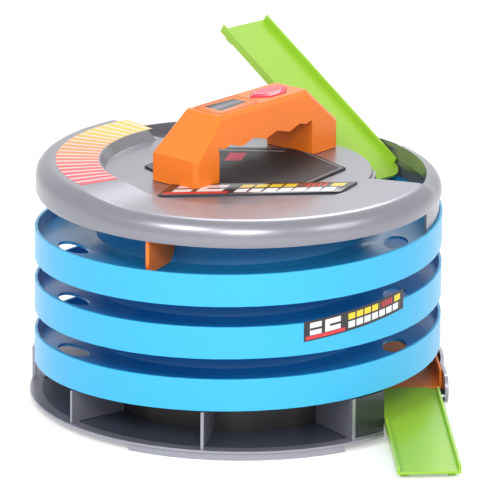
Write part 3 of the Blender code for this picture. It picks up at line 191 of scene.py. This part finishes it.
class Wire:
    """A shader value that makes its own Math nodes when it is used in a sum."""

    def __init__(self, paint, socket):
        self.paint = paint
        self.socket = socket

    def math(self, operation, *others):
        made = self.paint.node("ShaderNodeMath", {"operation": operation}, [self, *others])
        return Wire(self.paint, made.outputs[0])

    def __add__(self, other):
        return self.math("ADD", other)

    __radd__ = __add__

    def __sub__(self, other):
        return self.math("SUBTRACT", other)

    def __rsub__(self, other):
        made = self.paint.node("ShaderNodeMath", {"operation": "SUBTRACT"}, [other, self])
        return Wire(self.paint, made.outputs[0])

    def __mul__(self, other):
        return self.math("MULTIPLY", other)

    __rmul__ = __mul__

    def __truediv__(self, other):
        return self.math("DIVIDE", other)

    def step(self, low, high):
        """0 below low, 1 above high and a soft ramp between."""
        kind = {"interpolation_type": "SMOOTHSTEP"}
        made = self.paint.node("ShaderNodeMapRange", kind, [self, low, high, 0.0, 1.0])
        return Wire(self.paint, made.outputs[0])

    def inside(self, low, high, soft=0.0002):
        """1 between low and high and 0 outside them, with soft edges."""
        return self.step(low - soft, low + soft) * (1 - self.step(high - soft, high + soft))

    def wrap(self, length):
        """Starts again from 0 after each length."""
        return self.math("FLOORED_MODULO", length)


class Paint:
    """One procedural material: its nodes, its coordinates and its shader."""

    def __init__(self, name, colour, roughness, metallic=0.0, coat=0.0):
        self.material = bpy.data.materials.new(name)
        self.material.use_nodes = True
        self.tree = self.material.node_tree
        self.shader = self.tree.nodes["Principled BSDF"]
        self.set("Base Color", (*colour, 1.0))
        self.set("Roughness", roughness)
        self.set("Metallic", metallic)
        self.set("Coat Weight", coat)
        self.set("Coat Roughness", 0.08)
        self.place = None

    def set(self, socket, value):
        if isinstance(value, Wire):
            self.tree.links.new(value.socket, self.shader.inputs[socket])
        else:
            self.shader.inputs[socket].default_value = value

    def node(self, kind, options=None, values=()):
        """Adds a shader node, sets its options and sets or links its inputs."""
        made = self.tree.nodes.new(kind)
        for key, value in (options or {}).items():
            setattr(made, key, value)
        pairs = values.items() if isinstance(values, dict) else enumerate(values)
        for key, value in pairs:
            if isinstance(value, Wire):
                self.tree.links.new(value.socket, made.inputs[key])
            else:
                made.inputs[key].default_value = value
        return made

    def where(self):
        """Object coordinates, as a vector."""
        if self.place is None:
            self.place = Wire(self, self.node("ShaderNodeTexCoord").outputs["Object"])
        return self.place

    def axes(self):
        made = self.node("ShaderNodeSeparateXYZ", None, [self.where()])
        return [Wire(self, made.outputs[k]) for k in range(3)]

    def polar(self):
        """Distance from the tower's axis, and the angle from the front towards the right, in turns."""
        x, y, _ = self.axes()
        radius = (x * x + y * y).math("SQRT")
        angle = x.math("ARCTAN2", y * -1.0) / (2 * math.pi)
        return radius, angle

    def noise(self, scale, detail=3.0, rough=0.5, stretch=None):
        place = self.where()
        if stretch is not None:
            made = self.node("ShaderNodeMapping", None, {"Vector": place, "Scale": stretch})
            place = Wire(self, made.outputs[0])
        values = {"Vector": place, "Scale": scale, "Detail": detail, "Roughness": rough}
        return Wire(self, self.node("ShaderNodeTexNoise", None, values).outputs[0])

    def mix(self, factor, first, second):
        """Mixes two colours."""
        values = {0: factor, 6: self.rgba(first), 7: self.rgba(second)}
        made = self.node("ShaderNodeMix", {"data_type": "RGBA"}, values)
        return Wire(self, made.outputs[2])

    def rgba(self, colour):
        return colour if isinstance(colour, Wire) else (*colour, 1.0)

    def bump(self, height, distance, strength=1.0):
        values = {"Height": height, "Distance": distance, "Strength": strength}
        made = self.node("ShaderNodeBump", None, values)
        self.set("Normal", Wire(self, made.outputs[0]))


def shade(colour, amount):
    return tuple(min(max(part * amount, 0.0), 1.0) for part in colour)


def moulded(name, colour, roughness, coat=0.0, grain=0.00002, spread=0.05):
    """Moulded plastic: a faint cloudy colour, fine orange peel, and smudges that dull the gloss."""
    paint = Paint(name, colour, roughness, coat=coat)
    cloud = paint.noise(CLOUD_SCALE, 3.0)
    paint.set("Base Color", paint.mix(cloud, shade(colour, 1.0 - spread), shade(colour, 1.0 + spread)))
    smudge = paint.noise(SMUDGE_SCALE, 5.0, 0.6).step(0.42, 0.72)
    scuff = paint.noise(SCUFF_SCALE, 2.0, 0.5, (1.0, 0.15, 1.0)).step(0.66, 0.72)
    paint.set("Roughness", roughness + smudge * 0.07 + scuff * 0.05)
    peel = paint.noise(PEEL_SCALE, 2.0) + paint.noise(WAVE_SCALE, 2.0) * 2.0
    paint.bump(peel, grain, 0.6)
    return paint


def silver_paint(name, colour):
    """Silver metallic paint on plastic: fine flakes and a soft satin gloss."""
    paint = Paint(name, colour, 0.30, 0.72, 0.35)
    flake = paint.noise(FLAKE_SCALE, 1.0)
    cloud = paint.noise(16.0, 2.0)
    tone = paint.mix(flake, shade(colour, 0.90), shade(colour, 1.10))
    paint.set("Base Color", paint.mix(cloud * 0.25, tone, shade(colour, 0.92)))
    smudge = paint.noise(45.0, 4.0, 0.6).step(0.45, 0.75)
    paint.set("Roughness", 0.29 + flake * 0.06 + smudge * 0.05)
    paint.bump(flake + paint.noise(120.0, 2.0) * 1.5, 0.00002, 0.5)
    return paint


def bright_steel(name):
    """Plated steel with fine turning marks."""
    paint = Paint(name, (0.62, 0.62, 0.64), 0.26, 1.0)
    marks = paint.noise(1500.0, 2.0, 0.5, (1.0, 1.0, 0.1))
    paint.set("Roughness", 0.22 + marks * 0.16)
    paint.bump(marks, 0.00001, 0.5)
    return paint


# Mesh tools

def select_only(item):
    if bpy.context.object and bpy.context.object.mode != "OBJECT":
        bpy.ops.object.mode_set(mode="OBJECT")
    bpy.ops.object.select_all(action="DESELECT")
    bpy.context.view_layer.objects.active = item
    item.select_set(True)


def edit(item):
    select_only(item)
    bpy.ops.object.mode_set(mode="EDIT")


def leave(item):
    if item.mode != "OBJECT":
        bpy.ops.object.mode_set(mode="OBJECT")


def settle(item):
    """Puts the finished piece's place into its mesh."""
    leave(item)
    select_only(item)
    bpy.ops.object.transform_apply(location=True, rotation=True, scale=True)


def apply_all(item):
    select_only(item)
    for step in list(item.modifiers):
        bpy.ops.object.modifier_apply(modifier=step.name)


def smooth(item, angle=32.0):
    select_only(item)
    bpy.ops.object.shade_smooth_by_angle(angle=math.radians(angle))


def bevel_edges(item, width, segments=2, angle=32.0):
    step = item.modifiers.new("soft edges", "BEVEL")
    step.width = width
    step.segments = segments
    step.limit_method = "ANGLE"
    step.angle_limit = math.radians(angle)
    step.harden_normals = False
    step.use_clamp_overlap = True
    apply_all(item)


def even_light(item):
    """Keeps flat faces evenly lit beside their rounded edges."""
    step = item.modifiers.new("even light", "WEIGHTED_NORMAL")
    step.keep_sharp = True
    step.weight = 90
    apply_all(item)


def cad_copy(node, name):
    """A merged copy of a CAD node's mesh, ready for finer work."""
    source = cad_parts[node]
    item = bpy.data.objects.new(name, source.data.copy())
    bpy.context.scene.collection.objects.link(item)
    item.data.materials.clear()
    edit(item)
    bpy.ops.mesh.select_all(action="SELECT")
    bpy.ops.mesh.remove_doubles(threshold=MERGE_DISTANCE)
    bpy.ops.mesh.dissolve_limited(angle_limit=math.radians(FLAT_ANGLE))
    leave(item)
    return item


def cover(item, paint):
    item.data.materials.clear()
    item.data.materials.append(paint.material)


def dress(item, paint, body, replaces=()):
    """Paints a finished piece, ties it to its body and hides the CAD nodes it stands for."""
    cover(item, paint)
    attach(item, body)
    if replaces:
        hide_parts(*replaces)


def softened(node, name, width, angle=32.0, segments=2):
    """A CAD node's shape with small rounded edges and smooth shading."""
    item = cad_copy(node, name)
    bevel_edges(item, width, segments, angle)
    smooth(item, angle)
    even_light(item)
    return item


def slab(name, corners, low, high, turn=0.0, centre=(0.0, 0.0)):
    """A thin plate from the corners of its outline, started from a filled circle and pulled up."""
    bpy.ops.object.select_all(action="DESELECT")
    bpy.ops.mesh.primitive_circle_add(vertices=len(corners), radius=1.0, fill_type="NGON")
    item = bpy.context.object
    item.name = name
    edit(item)
    mesh = bmesh.from_edit_mesh(item.data)
    mesh.verts.ensure_lookup_table()
    for vert, (x, y) in zip(mesh.verts, corners):
        vert.co = Vector((x, y, low))
    bmesh.update_edit_mesh(item.data)
    bpy.ops.mesh.select_all(action="SELECT")
    bpy.ops.mesh.extrude_region_move(TRANSFORM_OT_translate={"value": (0.0, 0.0, high - low)})
    bpy.ops.mesh.select_all(action="SELECT")
    bpy.ops.mesh.normals_make_consistent(inside=False)
    leave(item)
    if turn or centre != (0.0, 0.0):
        spin = Matrix.Rotation(math.radians(turn), 4, "Z")
        item.data.transform(Matrix.Translation((*centre, 0.0)) @ spin)
    return item


def rectangle(inner, outer, low, high):
    """A rectangular section between two radii and two heights."""
    return [(inner, low), (outer, low), (outer, high), (inner, high)]


def arc_strip(name, section, start, end, steps):
    """A section of (radius, height) points swept round the tower's axis with the spin tool."""
    bpy.ops.object.select_all(action="DESELECT")
    bpy.ops.mesh.primitive_circle_add(vertices=len(section), radius=1.0, fill_type="NGON")
    item = bpy.context.object
    item.name = name
    edit(item)
    turn = math.radians(start)
    mesh = bmesh.from_edit_mesh(item.data)
    mesh.verts.ensure_lookup_table()
    for vert, (radius, height) in zip(mesh.verts, section):
        vert.co = Vector((radius * math.sin(turn), -radius * math.cos(turn), height))
    bmesh.update_edit_mesh(item.data)
    bpy.ops.mesh.select_all(action="SELECT")
    bpy.ops.mesh.spin(steps=steps, angle=math.radians(end - start), center=(0, 0, 0), axis=(0, 0, -1))
    bpy.ops.mesh.select_all(action="SELECT")
    bpy.ops.mesh.remove_doubles(threshold=MERGE_DISTANCE)
    bpy.ops.mesh.normals_make_consistent(inside=False)
    leave(item)
    return item


# Settings

class GarageSettings(bpy.types.PropertyGroup):
    track: bpy.props.FloatVectorProperty(
        name="Track", description="Colour of the spiral track", subtype="COLOR", default=(0.035, 0.48, 0.84),
        min=0.0, max=1.0)
    silver: bpy.props.FloatVectorProperty(
        name="Silver", description="Colour of the lid and the base", subtype="COLOR",
        default=(0.27, 0.27, 0.31), min=0.0, max=1.0)
    orange: bpy.props.FloatVectorProperty(
        name="Orange", description="Colour of the handle, gate and chute", subtype="COLOR",
        default=(0.95, 0.21, 0.012), min=0.0, max=1.0)
    green: bpy.props.FloatVectorProperty(
        name="Green", description="Colour of the ramps", subtype="COLOR", default=(0.33, 0.60, 0.035),
        min=0.0, max=1.0)
    red: bpy.props.FloatVectorProperty(
        name="Red", description="Colour of the release button", subtype="COLOR", default=(0.78, 0.02, 0.07),
        min=0.0, max=1.0)
    edge: bpy.props.FloatProperty(
        name="Edge", description="Rounding of moulded edges", unit="LENGTH", default=0.0004, min=0.0)
    label: bpy.props.FloatProperty(
        name="Label", description="Thickness of a printed label", unit="LENGTH", default=0.00015, min=0.0)


def settings(context):
    return context.scene.garage_settings


def three(colour):
    """A colour setting as a plain tuple."""
    return tuple(colour)[:3]


# Pieces

class GARAGE_OT_track(bpy.types.Operator):
    """Dresses the three turns of the spiral track"""
    bl_idname = "garage.track"
    bl_label = "Spiral track"

    def execute(self, context):
        look = settings(context)
        paint = moulded("track_plastic", three(look.track), 0.30, coat=0.15, grain=0.000015, spread=0.03)
        # painted shade on the lanes inside the bands
        shaded_lanes(paint, three(look.track))
        for number in (1, 2, 3):
            node = "track_tier_%d" % number
            item = softened(node, node + "_shell", look.edge, 38.0)
            dress(item, paint, "tower", [node])
        return {"FINISHED"}


def shaded_lanes(paint, colour):
    """The lanes inside the bands get a painted shade, a deeper blue than the lit bands."""
    radius, _ = paint.polar()
    # painted shade for the lanes and inner walls inside the outer band face
    painted_lane_shade = (colour[0] * 0.6, colour[1] * 0.62, colour[2] * 0.78)
    cloud = paint.mix(paint.noise(CLOUD_SCALE, 3.0), shade(colour, 0.97), shade(colour, 1.03))
    paint.set("Base Color", paint.mix(radius.step(*LANE_EDGE), painted_lane_shade, cloud))


def bay_shade_and_dark_panel(paint, colour):
    """The parking bays: a painted shade on the floor, a near-black painted shade on the hub at the back, and
    one closed dark panel in the silver base.
    """
    radius, angle = paint.polar()
    _, _, z = paint.axes()
    # painted shade on the floor of the bays
    floor = (1 - radius.step(*BAY_EDGE)) * (1 - z.step(*BAY_CEILING_EDGE)) * z.step(*BAY_FLOOR_EDGE)
    # near-black painted shade on the hub wall at the back of the bays
    hub_shade = (1 - radius.step(*HUB_EDGE)) * z.step(*HUB_FOOT_EDGE)
    width = (angle * 360.0).inside(*CLOSED_BAY_ANGLES, 0.2)
    panel = width * radius.step(*CLOSED_BAY_EDGE) * z.step(*CLOSED_BAY_FOOT_EDGE)
    flake = paint.noise(FLAKE_SCALE, 1.0)
    tone = paint.mix(flake, shade(colour, 0.90), shade(colour, 1.12))
    # painted shade on the bay floor, then near-black painted shade on the hub, then the dark closed panel
    tone = paint.mix(floor, tone, (0.055, 0.060, 0.085))
    tone = paint.mix(hub_shade, tone, (0.030, 0.026, 0.026))
    tone = paint.mix(panel, tone, (0.018, 0.020, 0.026))
    paint.set("Base Color", tone)
    paint.set("Metallic", 0.62 * (1 - (floor + hub_shade + panel).math("MINIMUM", 1.0)))


class GARAGE_OT_base(bpy.types.Operator):
    """Dresses the base, the exit chute and the inner sleeve"""
    bl_idname = "garage.base"
    bl_label = "Base and chute"

    def execute(self, context):
        look = settings(context)
        item = softened("base_tray", "base_tray_shell", look.edge, 35.0)
        silver = shade(three(look.silver), 1.25)
        paint = silver_paint("base_silver", silver)
        # paints shade into the bays and darkens the closed panel
        bay_shade_and_dark_panel(paint, silver)
        dress(item, paint, "tower", ["base_tray"])
        item = softened("exit_chute", "exit_chute_shell", look.edge, 35.0)
        paint = moulded("chute_orange", three(look.orange), 0.36)
        dress(item, paint, "tower", ["exit_chute"])
        cover(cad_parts["core_sleeve"], moulded("sleeve_grey", (0.20, 0.21, 0.24), 0.5))
        return {"FINISHED"}


class GARAGE_OT_lid(bpy.types.Operator):
    """Dresses the lid and the deck plate"""
    bl_idname = "garage.lid"
    bl_label = "Lid and deck"

    def execute(self, context):
        look = settings(context)
        item = softened("lid_shell", "lid_shell_skin", look.edge, 30.0)
        paint = silver_paint("lid_silver", three(look.silver))
        dress(item, paint, "tower", ["lid_shell"])
        item = softened("deck_plate", "deck_plate_skin", look.edge * 0.5, 30.0)
        dress(item, deck_print(), "tower", ["deck_plate"])
        return {"FINISHED"}


def deck_print():
    """Matte black card with a thin light outline, a red accent and a pale strip."""
    paint = Paint("deck_print", (0.012, 0.012, 0.015), 0.55)
    x, y, _ = paint.axes()
    side = (x - DECK_MIDDLE).math("ABSOLUTE")
    edge = (side * DECK_SLANT[0] + y.math("ABSOLUTE") * DECK_SLANT[1]) / DECK_SLANT_SIZE
    flat = y.math("ABSOLUTE") / DECK_HALF_WIDTH
    rim = edge.math("MAXIMUM", flat)
    line = rim.inside(*DECK_LINE, 0.004)
    red = (y - RED_FOOT).inside(0.0, RED_LENGTH) * (x - y * RED_LEAN - RED_LEFT).inside(0.0, RED_WIDTH)
    strip = (y - STRIP_MIDDLE + x * STRIP_LEAN).inside(-STRIP_HALF_WIDTH, STRIP_HALF_WIDTH)
    strip = strip * side.step(*STRIP_END_EDGE)
    cloud = paint.noise(30.0)
    tone = paint.mix(cloud, (0.010, 0.010, 0.013), (0.016, 0.016, 0.020))
    tone = paint.mix(line * 0.8, tone, (0.30, 0.30, 0.33))
    tone = paint.mix(strip * 0.8, tone, (0.42, 0.42, 0.46))
    paint.set("Base Color", paint.mix(red, tone, (0.72, 0.03, 0.10)))
    paint.set("Roughness", 0.50 + paint.noise(70.0, 4.0) * 0.16)
    paint.bump(paint.noise(700.0, 2.0), 0.00001, 0.5)
    return paint


class GARAGE_OT_handle(bpy.types.Operator):
    """Dresses the handle, its button and what is seen of the mechanism"""
    bl_idname = "garage.handle"
    bl_label = "Handle and gate"

    def execute(self, context):
        look = settings(context)
        orange = moulded("handle_orange", three(look.orange), 0.33, 0.1)
        item = softened("handle_shell", "handle_skin", look.edge, 25.0, 3)
        dress(item, orange, "tower", ["handle_shell"])
        item = softened("grip_cover", "grip_cover_skin", look.edge, 30.0)
        dress(item, orange, "tower", ["grip_cover"])
        item = softened("start_gate", "start_gate_skin", look.edge, 30.0)
        dress(item, orange, "gate", ["start_gate"])
        item = softened("button", "button_cap", look.edge, 20.0, 3)
        dress(item, moulded("button_red", three(look.red), 0.24, 0.5), "button", ["button"])
        top = HANDLE_CENTRE.z + HANDLE_HEIGHT
        panel = slab("handle_panel", panel_corners(), top - PANEL_SINK, top + PANEL_RISE,
                     HANDLE_TURN, (HANDLE_CENTRE.x, HANDLE_CENTRE.y))
        bevel_edges(panel, look.edge * 0.6)
        smooth(panel)
        dress(panel, panel_print(three(look.orange)), "tower")
        grey = moulded("mechanism_grey", (0.22, 0.22, 0.25), 0.5)
        for node in ("release_bar", "release_rod", "gate_lever"):
            cover(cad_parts[node], grey)
        return {"FINISHED"}


def panel_corners():
    """Outline of the raised panel in front of the button, in millimetres along and across the grip."""
    points = [(-45, -10), (-41, -13), (0, -13), (3, -10), (3, 10), (0, 13), (-41, 13), (-45, 10)]
    return [(x * MM, y * MM) for x, y in points]


def panel_print(colour):
    """Moulded orange with a thin dark red outline and a generic badge of grey and black bars."""
    paint = moulded("panel_orange", shade(colour, 0.9), 0.4)
    turned = paint.node("ShaderNodeMapping", {"vector_type": "TEXTURE"},
                        {"Vector": paint.where(), "Location": HANDLE_CENTRE,
                         "Rotation": (0.0, 0.0, math.radians(HANDLE_TURN))})
    parts = paint.node("ShaderNodeSeparateXYZ", None, [Wire(paint, turned.outputs[0])])
    along, across = Wire(paint, parts.outputs[0]), Wire(paint, parts.outputs[1])
    wide = across.math("ABSOLUTE")
    inner = along.inside(*PANEL_INNER) * (1 - wide.step(*PANEL_INNER_EDGE))
    outer = along.inside(*PANEL_OUTER) * (1 - wide.step(*PANEL_OUTER_EDGE))
    line = outer * (1 - inner)
    badge = along.inside(*BADGE_LENGTH) * (wide + along * BADGE_TAPER).inside(*BADGE_WIDTH)
    bars = (along * BADGE_BARS + across * BADGE_BAR_LEAN).wrap(1.0).inside(*BADGE_BAR, 0.04)
    tone = paint.mix(paint.noise(CLOUD_SCALE, 3.0), shade(colour, 0.86), shade(colour, 0.94))
    tone = paint.mix(line * 0.7, tone, (0.30, 0.02, 0.01))
    tone = paint.mix(badge, tone, (0.03, 0.03, 0.04))
    tone = paint.mix(badge * bars * (1 - wide.step(*BADGE_BAR_EDGE)), tone, (0.30, 0.31, 0.36))
    paint.set("Base Color", tone)
    return paint


class GARAGE_OT_ramps(bpy.types.Operator):
    """Dresses the two hinged ramps"""
    bl_idname = "garage.ramps"
    bl_label = "Ramps"

    def execute(self, context):
        look = settings(context)
        paint = moulded("ramp_green", three(look.green), 0.30, 0.15)
        for node in ("upper_ramp", "lower_ramp"):
            item = softened(node, node + "_skin", look.edge, 30.0)
            dress(item, paint, node, [node])
        return {"FINISHED"}


class GARAGE_OT_metal(bpy.types.Operator):
    """Finishes the pins, the screws and the spring"""
    bl_idname = "garage.metal"
    bl_label = "Pins, screws and spring"

    def execute(self, context):
        steel = bright_steel("plated_steel")
        for name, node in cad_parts.items():
            if "screw" in name or "pin" in name or "spring" in name:
                cover(node, steel)
        return {"FINISHED"}


# Labels

def hot_stripes():
    """Printed segments that run from yellow at the back through orange to red at the front."""
    paint = Paint("ring_print", (0.9, 0.3, 0.1), 0.30, coat=0.3)
    radius, angle = paint.polar()
    turn = angle * 360.0
    blend = turn.step(*HOT_TURN)
    warm = paint.mix(blend.step(0.0, 0.5), (0.85, 0.62, 0.03), (0.92, 0.27, 0.03))
    warm = paint.mix(blend.step(0.45, 1.0), warm, (0.80, 0.03, 0.06))
    share = (turn + 360.0).wrap(STRIPE_TURN) / STRIPE_TURN
    gap = share.step(0.70, 0.74) * (1 - share.step(0.96, 1.0))
    paint.set("Base Color", paint.mix(gap * 0.85, warm, (0.86, 0.84, 0.84)))
    paint.set("Roughness", 0.26 + paint.noise(LABEL_SMUDGE_SCALE, 3.0) * 0.12)
    paint.bump(paint.noise(800.0, 2.0), 0.00001, 0.4)
    return paint


def race_print(name, start, length, foot, height, along):
    """A generic racing label on black: tall white blocks over a red band, then a yellow and a white row."""
    paint = Paint(name, PRINT_BLACK, 0.28, coat=0.3)
    run, rise = along(paint)
    run = (run - start) / length
    rise = (rise - foot) / height
    tall = (run * BLOCKS).wrap(1.0).inside(*BLOCK, 0.02) * run.inside(*BLOCK_SPAN, SPAN_SOFT)
    slit = 1 - rise.inside(*SLIT_ROW, ROW_SOFT) * (run * BLOCKS).wrap(1.0).inside(*SLIT, 0.02)
    words = (run * WORDS).wrap(1.0).inside(*WORD, 0.03)
    fine = (run * FINE_MARKS).wrap(1.0).inside(*FINE_MARK, 0.05)
    upper = rise.inside(*UPPER_ROW, ROW_SOFT)
    lower = rise.inside(*LOWER_ROW, ROW_SOFT)
    band = rise.inside(*BAND_ROW, ROW_SOFT) * run.inside(*BAND_SPAN, SPAN_SOFT)
    tone = paint.mix(band, PRINT_BLACK, (0.72, 0.025, 0.035))
    tone = paint.mix(tall * slit * rise.inside(*BLOCK_ROW, ROW_SOFT), tone, PRINT_WHITE)
    tone = paint.mix(upper * words * run.inside(*UPPER_WORDS_SPAN, SPAN_SOFT), tone, PRINT_YELLOW)
    tone = paint.mix(upper * fine * run.inside(*FINE_MARKS_SPAN, SPAN_SOFT), tone, (0.74, 0.03, 0.03))
    tone = paint.mix(upper * run.inside(*END_MARK_SPAN, SPAN_SOFT), tone, PRINT_YELLOW)
    tone = paint.mix(lower * words * run.inside(*LOWER_WORDS_SPAN, SPAN_SOFT), tone, PRINT_WHITE)
    paint.set("Base Color", tone)
    paint.set("Roughness", 0.26 + paint.noise(LABEL_SMUDGE_SCALE, 3.0) * 0.10)
    paint.bump(paint.noise(900.0, 2.0), 0.00001, 0.4)
    return paint


def flat_way(paint):
    """Along and across the leaning front plate."""
    x, y, _ = paint.axes()
    left, near = PLATE_CORNERS[0]
    return x - (y - near) * PLATE_SLANT, y - (x - left) * PLATE_SLOPE


def round_way(paint):
    """Along the band in metres from the front, and up the leaning label."""
    _, angle = paint.polar()
    _, _, z = paint.axes()
    run = angle * (2 * math.pi * TOWER_RADIUS)
    return run, z - run * SIDE_SLOPE


class GARAGE_OT_labels(bpy.types.Operator):
    """Puts the printed labels on the ring, the dish and the middle band"""
    bl_idname = "garage.labels"
    bl_label = "Printed labels"

    def execute(self, context):
        look = settings(context)
        section = rectangle(*RING_RADII, RING_TOP, RING_TOP + look.label)
        ring = arc_strip("ring_label", section, *RING_ANGLES, 42)
        smooth(ring)
        dress(ring, hot_stripes(), "tower")
        front = slab("front_label", PLATE_CORNERS, DISH_TOP, DISH_TOP + PLATE_HEIGHT)
        bevel_edges(front, look.edge * 0.5)
        smooth(front)
        left, near = PLATE_CORNERS[0]
        length, height = PLATE_PRINT
        print_front = race_print("front_print", left, length, near, height, flat_way)
        dress(front, print_front, "tower")
        side = side_label("side_label", look.label)
        print_side = race_print(
            "side_print", SIDE_PRINT_START, SIDE_PRINT_LENGTH, SIDE_FOOT, SIDE_HEIGHT, round_way)
        dress(side, print_side, "tower")
        return {"FINISHED"}


def side_label(name, thin):
    """The leaning label on the middle band, which follows the band round the tower."""
    section = rectangle(TOWER_RADIUS, TOWER_RADIUS + thin, 0.0, SIDE_HEIGHT)
    item = arc_strip(name, section, *SIDE_ANGLES, 24)
    edit(item)
    mesh = bmesh.from_edit_mesh(item.data)
    for vert in mesh.verts:
        run = math.atan2(vert.co.x, -vert.co.y) * TOWER_RADIUS
        vert.co.z += SIDE_FOOT + run * SIDE_SLOPE
    bmesh.update_edit_mesh(item.data)
    leave(item)
    smooth(item)
    return item


# Stage

class GARAGE_OT_stage(bpy.types.Operator):
    """Adds the floor, the lamps and the camera"""
    bl_idname = "garage.stage"
    bl_label = "Stage"

    def execute(self, context):
        pale_floor()
        white_world(context.scene)
        for name, place, size, power in LAMPS:
            lamp(name, place, size, power)
        photo_camera(context.scene)
        return {"FINISHED"}


def pale_floor():
    """A pale floor that looks white to the camera and still takes soft shadows."""
    bpy.ops.object.select_all(action="DESELECT")
    bpy.ops.mesh.primitive_plane_add(size=FLOOR_SIZE, location=(0.0, 0.0, -FLOOR_DROP))
    floor = bpy.context.object
    floor.name = "floor"
    settle(floor)
    paint = Paint("pale_floor", (0.86, 0.86, 0.86), 0.6)
    tree = paint.tree
    rays = paint.node("ShaderNodeLightPath")
    camera = Wire(paint, rays.outputs["Is Camera Ray"])
    glossy = Wire(paint, rays.outputs["Is Glossy Ray"])
    through = Wire(paint, rays.outputs["Is Transmission Ray"])
    cloud = paint.noise(3.0, 2.0)
    paint.set("Base Color", paint.mix(cloud, (0.85, 0.85, 0.85), (0.87, 0.87, 0.87)))
    seen = (camera + glossy + through).math("MINIMUM", 1.0)
    glow = {"Color": (1.0, 1.0, 1.0, 1.0), "Strength": FLOOR_GLOW}
    white = paint.node("ShaderNodeEmission", None, glow)
    adding = paint.node("ShaderNodeAddShader")
    tree.links.new(paint.shader.outputs[0], adding.inputs[0])
    tree.links.new(white.outputs[0], adding.inputs[1])
    mixing = paint.node("ShaderNodeMixShader", None, {0: seen})
    tree.links.new(paint.shader.outputs[0], mixing.inputs[1])
    tree.links.new(adding.outputs[0], mixing.inputs[2])
    tree.links.new(mixing.outputs[0], tree.nodes["Material Output"].inputs[0])
    floor.data.materials.append(paint.material)


def white_world(scene):
    """A world that is white to the camera and in reflections, and lights the part less than that."""
    world = bpy.data.worlds.new("studio")
    world.use_nodes = True
    scene.world = world
    tree = world.node_tree
    back = tree.nodes["Background"]
    back.inputs["Color"].default_value = (1.0, 1.0, 1.0, 1.0)
    rays = tree.nodes.new("ShaderNodeLightPath")
    seen = rays.outputs["Is Camera Ray"]
    for kind in ("Is Glossy Ray", "Is Transmission Ray"):
        either = tree.nodes.new("ShaderNodeMath")
        either.operation = "MAXIMUM"
        tree.links.new(seen, either.inputs[0])
        tree.links.new(rays.outputs[kind], either.inputs[1])
        seen = either.outputs[0]
    level = tree.nodes.new("ShaderNodeMapRange")
    tree.links.new(seen, level.inputs[0])
    level.inputs["To Min"].default_value = WORLD_LIGHT
    level.inputs["To Max"].default_value = 1.0
    tree.links.new(level.outputs[0], back.inputs["Strength"])


def lamp(name, place, size, power):
    """A round area lamp that points at the middle of the part."""
    light = bpy.data.lights.new(name, "AREA")
    light.shape = "DISK"
    light.size = size
    light.energy = power
    item = bpy.data.objects.new(name, light)
    bpy.context.scene.collection.objects.link(item)
    item.location = place
    aim = LAMP_AIM - Vector(place)
    item.rotation_euler = aim.to_track_quat("-Z", "Y").to_euler()


def photo_camera(scene):
    """The camera that was fitted to the photograph."""
    rise = math.radians(CAMERA_RISE)
    roll, yaw, pitch = math.radians(CAMERA_ROLL), math.radians(CAMERA_YAW), math.radians(CAMERA_PITCH)
    back = Vector((0.0, -math.cos(rise), math.sin(rise)))
    up = Vector((0.0, math.sin(rise), math.cos(rise)))
    base = Matrix((Vector((1.0, 0.0, 0.0)), up, back)).transposed()
    turn = Matrix.Rotation(-roll, 3, "Z") @ Matrix.Rotation(-pitch, 3, "X") @ Matrix.Rotation(-yaw, 3, "Y")
    data = bpy.data.cameras.new("photo_camera")
    data.sensor_width = SENSOR_WIDTH
    data.lens = FOCAL_PIXELS * SENSOR_WIDTH / PHOTO_PIXELS
    data.clip_end = FAR_CLIP
    item = bpy.data.objects.new("photo_camera", data)
    scene.collection.objects.link(item)
    item.matrix_world = Matrix.Translation(back * CAMERA_DISTANCE) @ (base @ turn.transposed()).to_4x4()
    scene.camera = item
    scene.view_settings.view_transform = "Standard"


class GARAGE_PT_panel(bpy.types.Panel):
    """Lists the garage's pieces and settings"""
    bl_idname = "GARAGE_PT_panel"
    bl_label = "Toy garage"
    bl_space_type = "VIEW_3D"
    bl_region_type = "UI"
    bl_category = "Garage"

    def draw(self, context):
        column = self.layout.column()
        for name in ("track", "silver", "orange", "green", "red", "edge", "label"):
            column.prop(settings(context), name)
        for step in STEPS:
            column.operator(step.bl_idname)


STEPS = (GARAGE_OT_track, GARAGE_OT_base, GARAGE_OT_lid, GARAGE_OT_handle, GARAGE_OT_ramps, GARAGE_OT_metal,
         GARAGE_OT_labels, GARAGE_OT_stage)
CLASSES = (GarageSettings, *STEPS, GARAGE_PT_panel)


def register():
    for item in CLASSES:
        bpy.utils.register_class(item)
    bpy.types.Scene.garage_settings = bpy.props.PointerProperty(type=GarageSettings)


def unregister():
    del bpy.types.Scene.garage_settings
    for item in reversed(CLASSES):
        bpy.utils.unregister_class(item)


def main():
    register()
    bpy.ops.garage.track()
    bpy.ops.garage.base()
    bpy.ops.garage.lid()
    bpy.ops.garage.handle()
    bpy.ops.garage.ramps()
    bpy.ops.garage.metal()
    bpy.ops.garage.labels()
    bpy.ops.garage.stage()


if __name__ == "__main__":
    main()
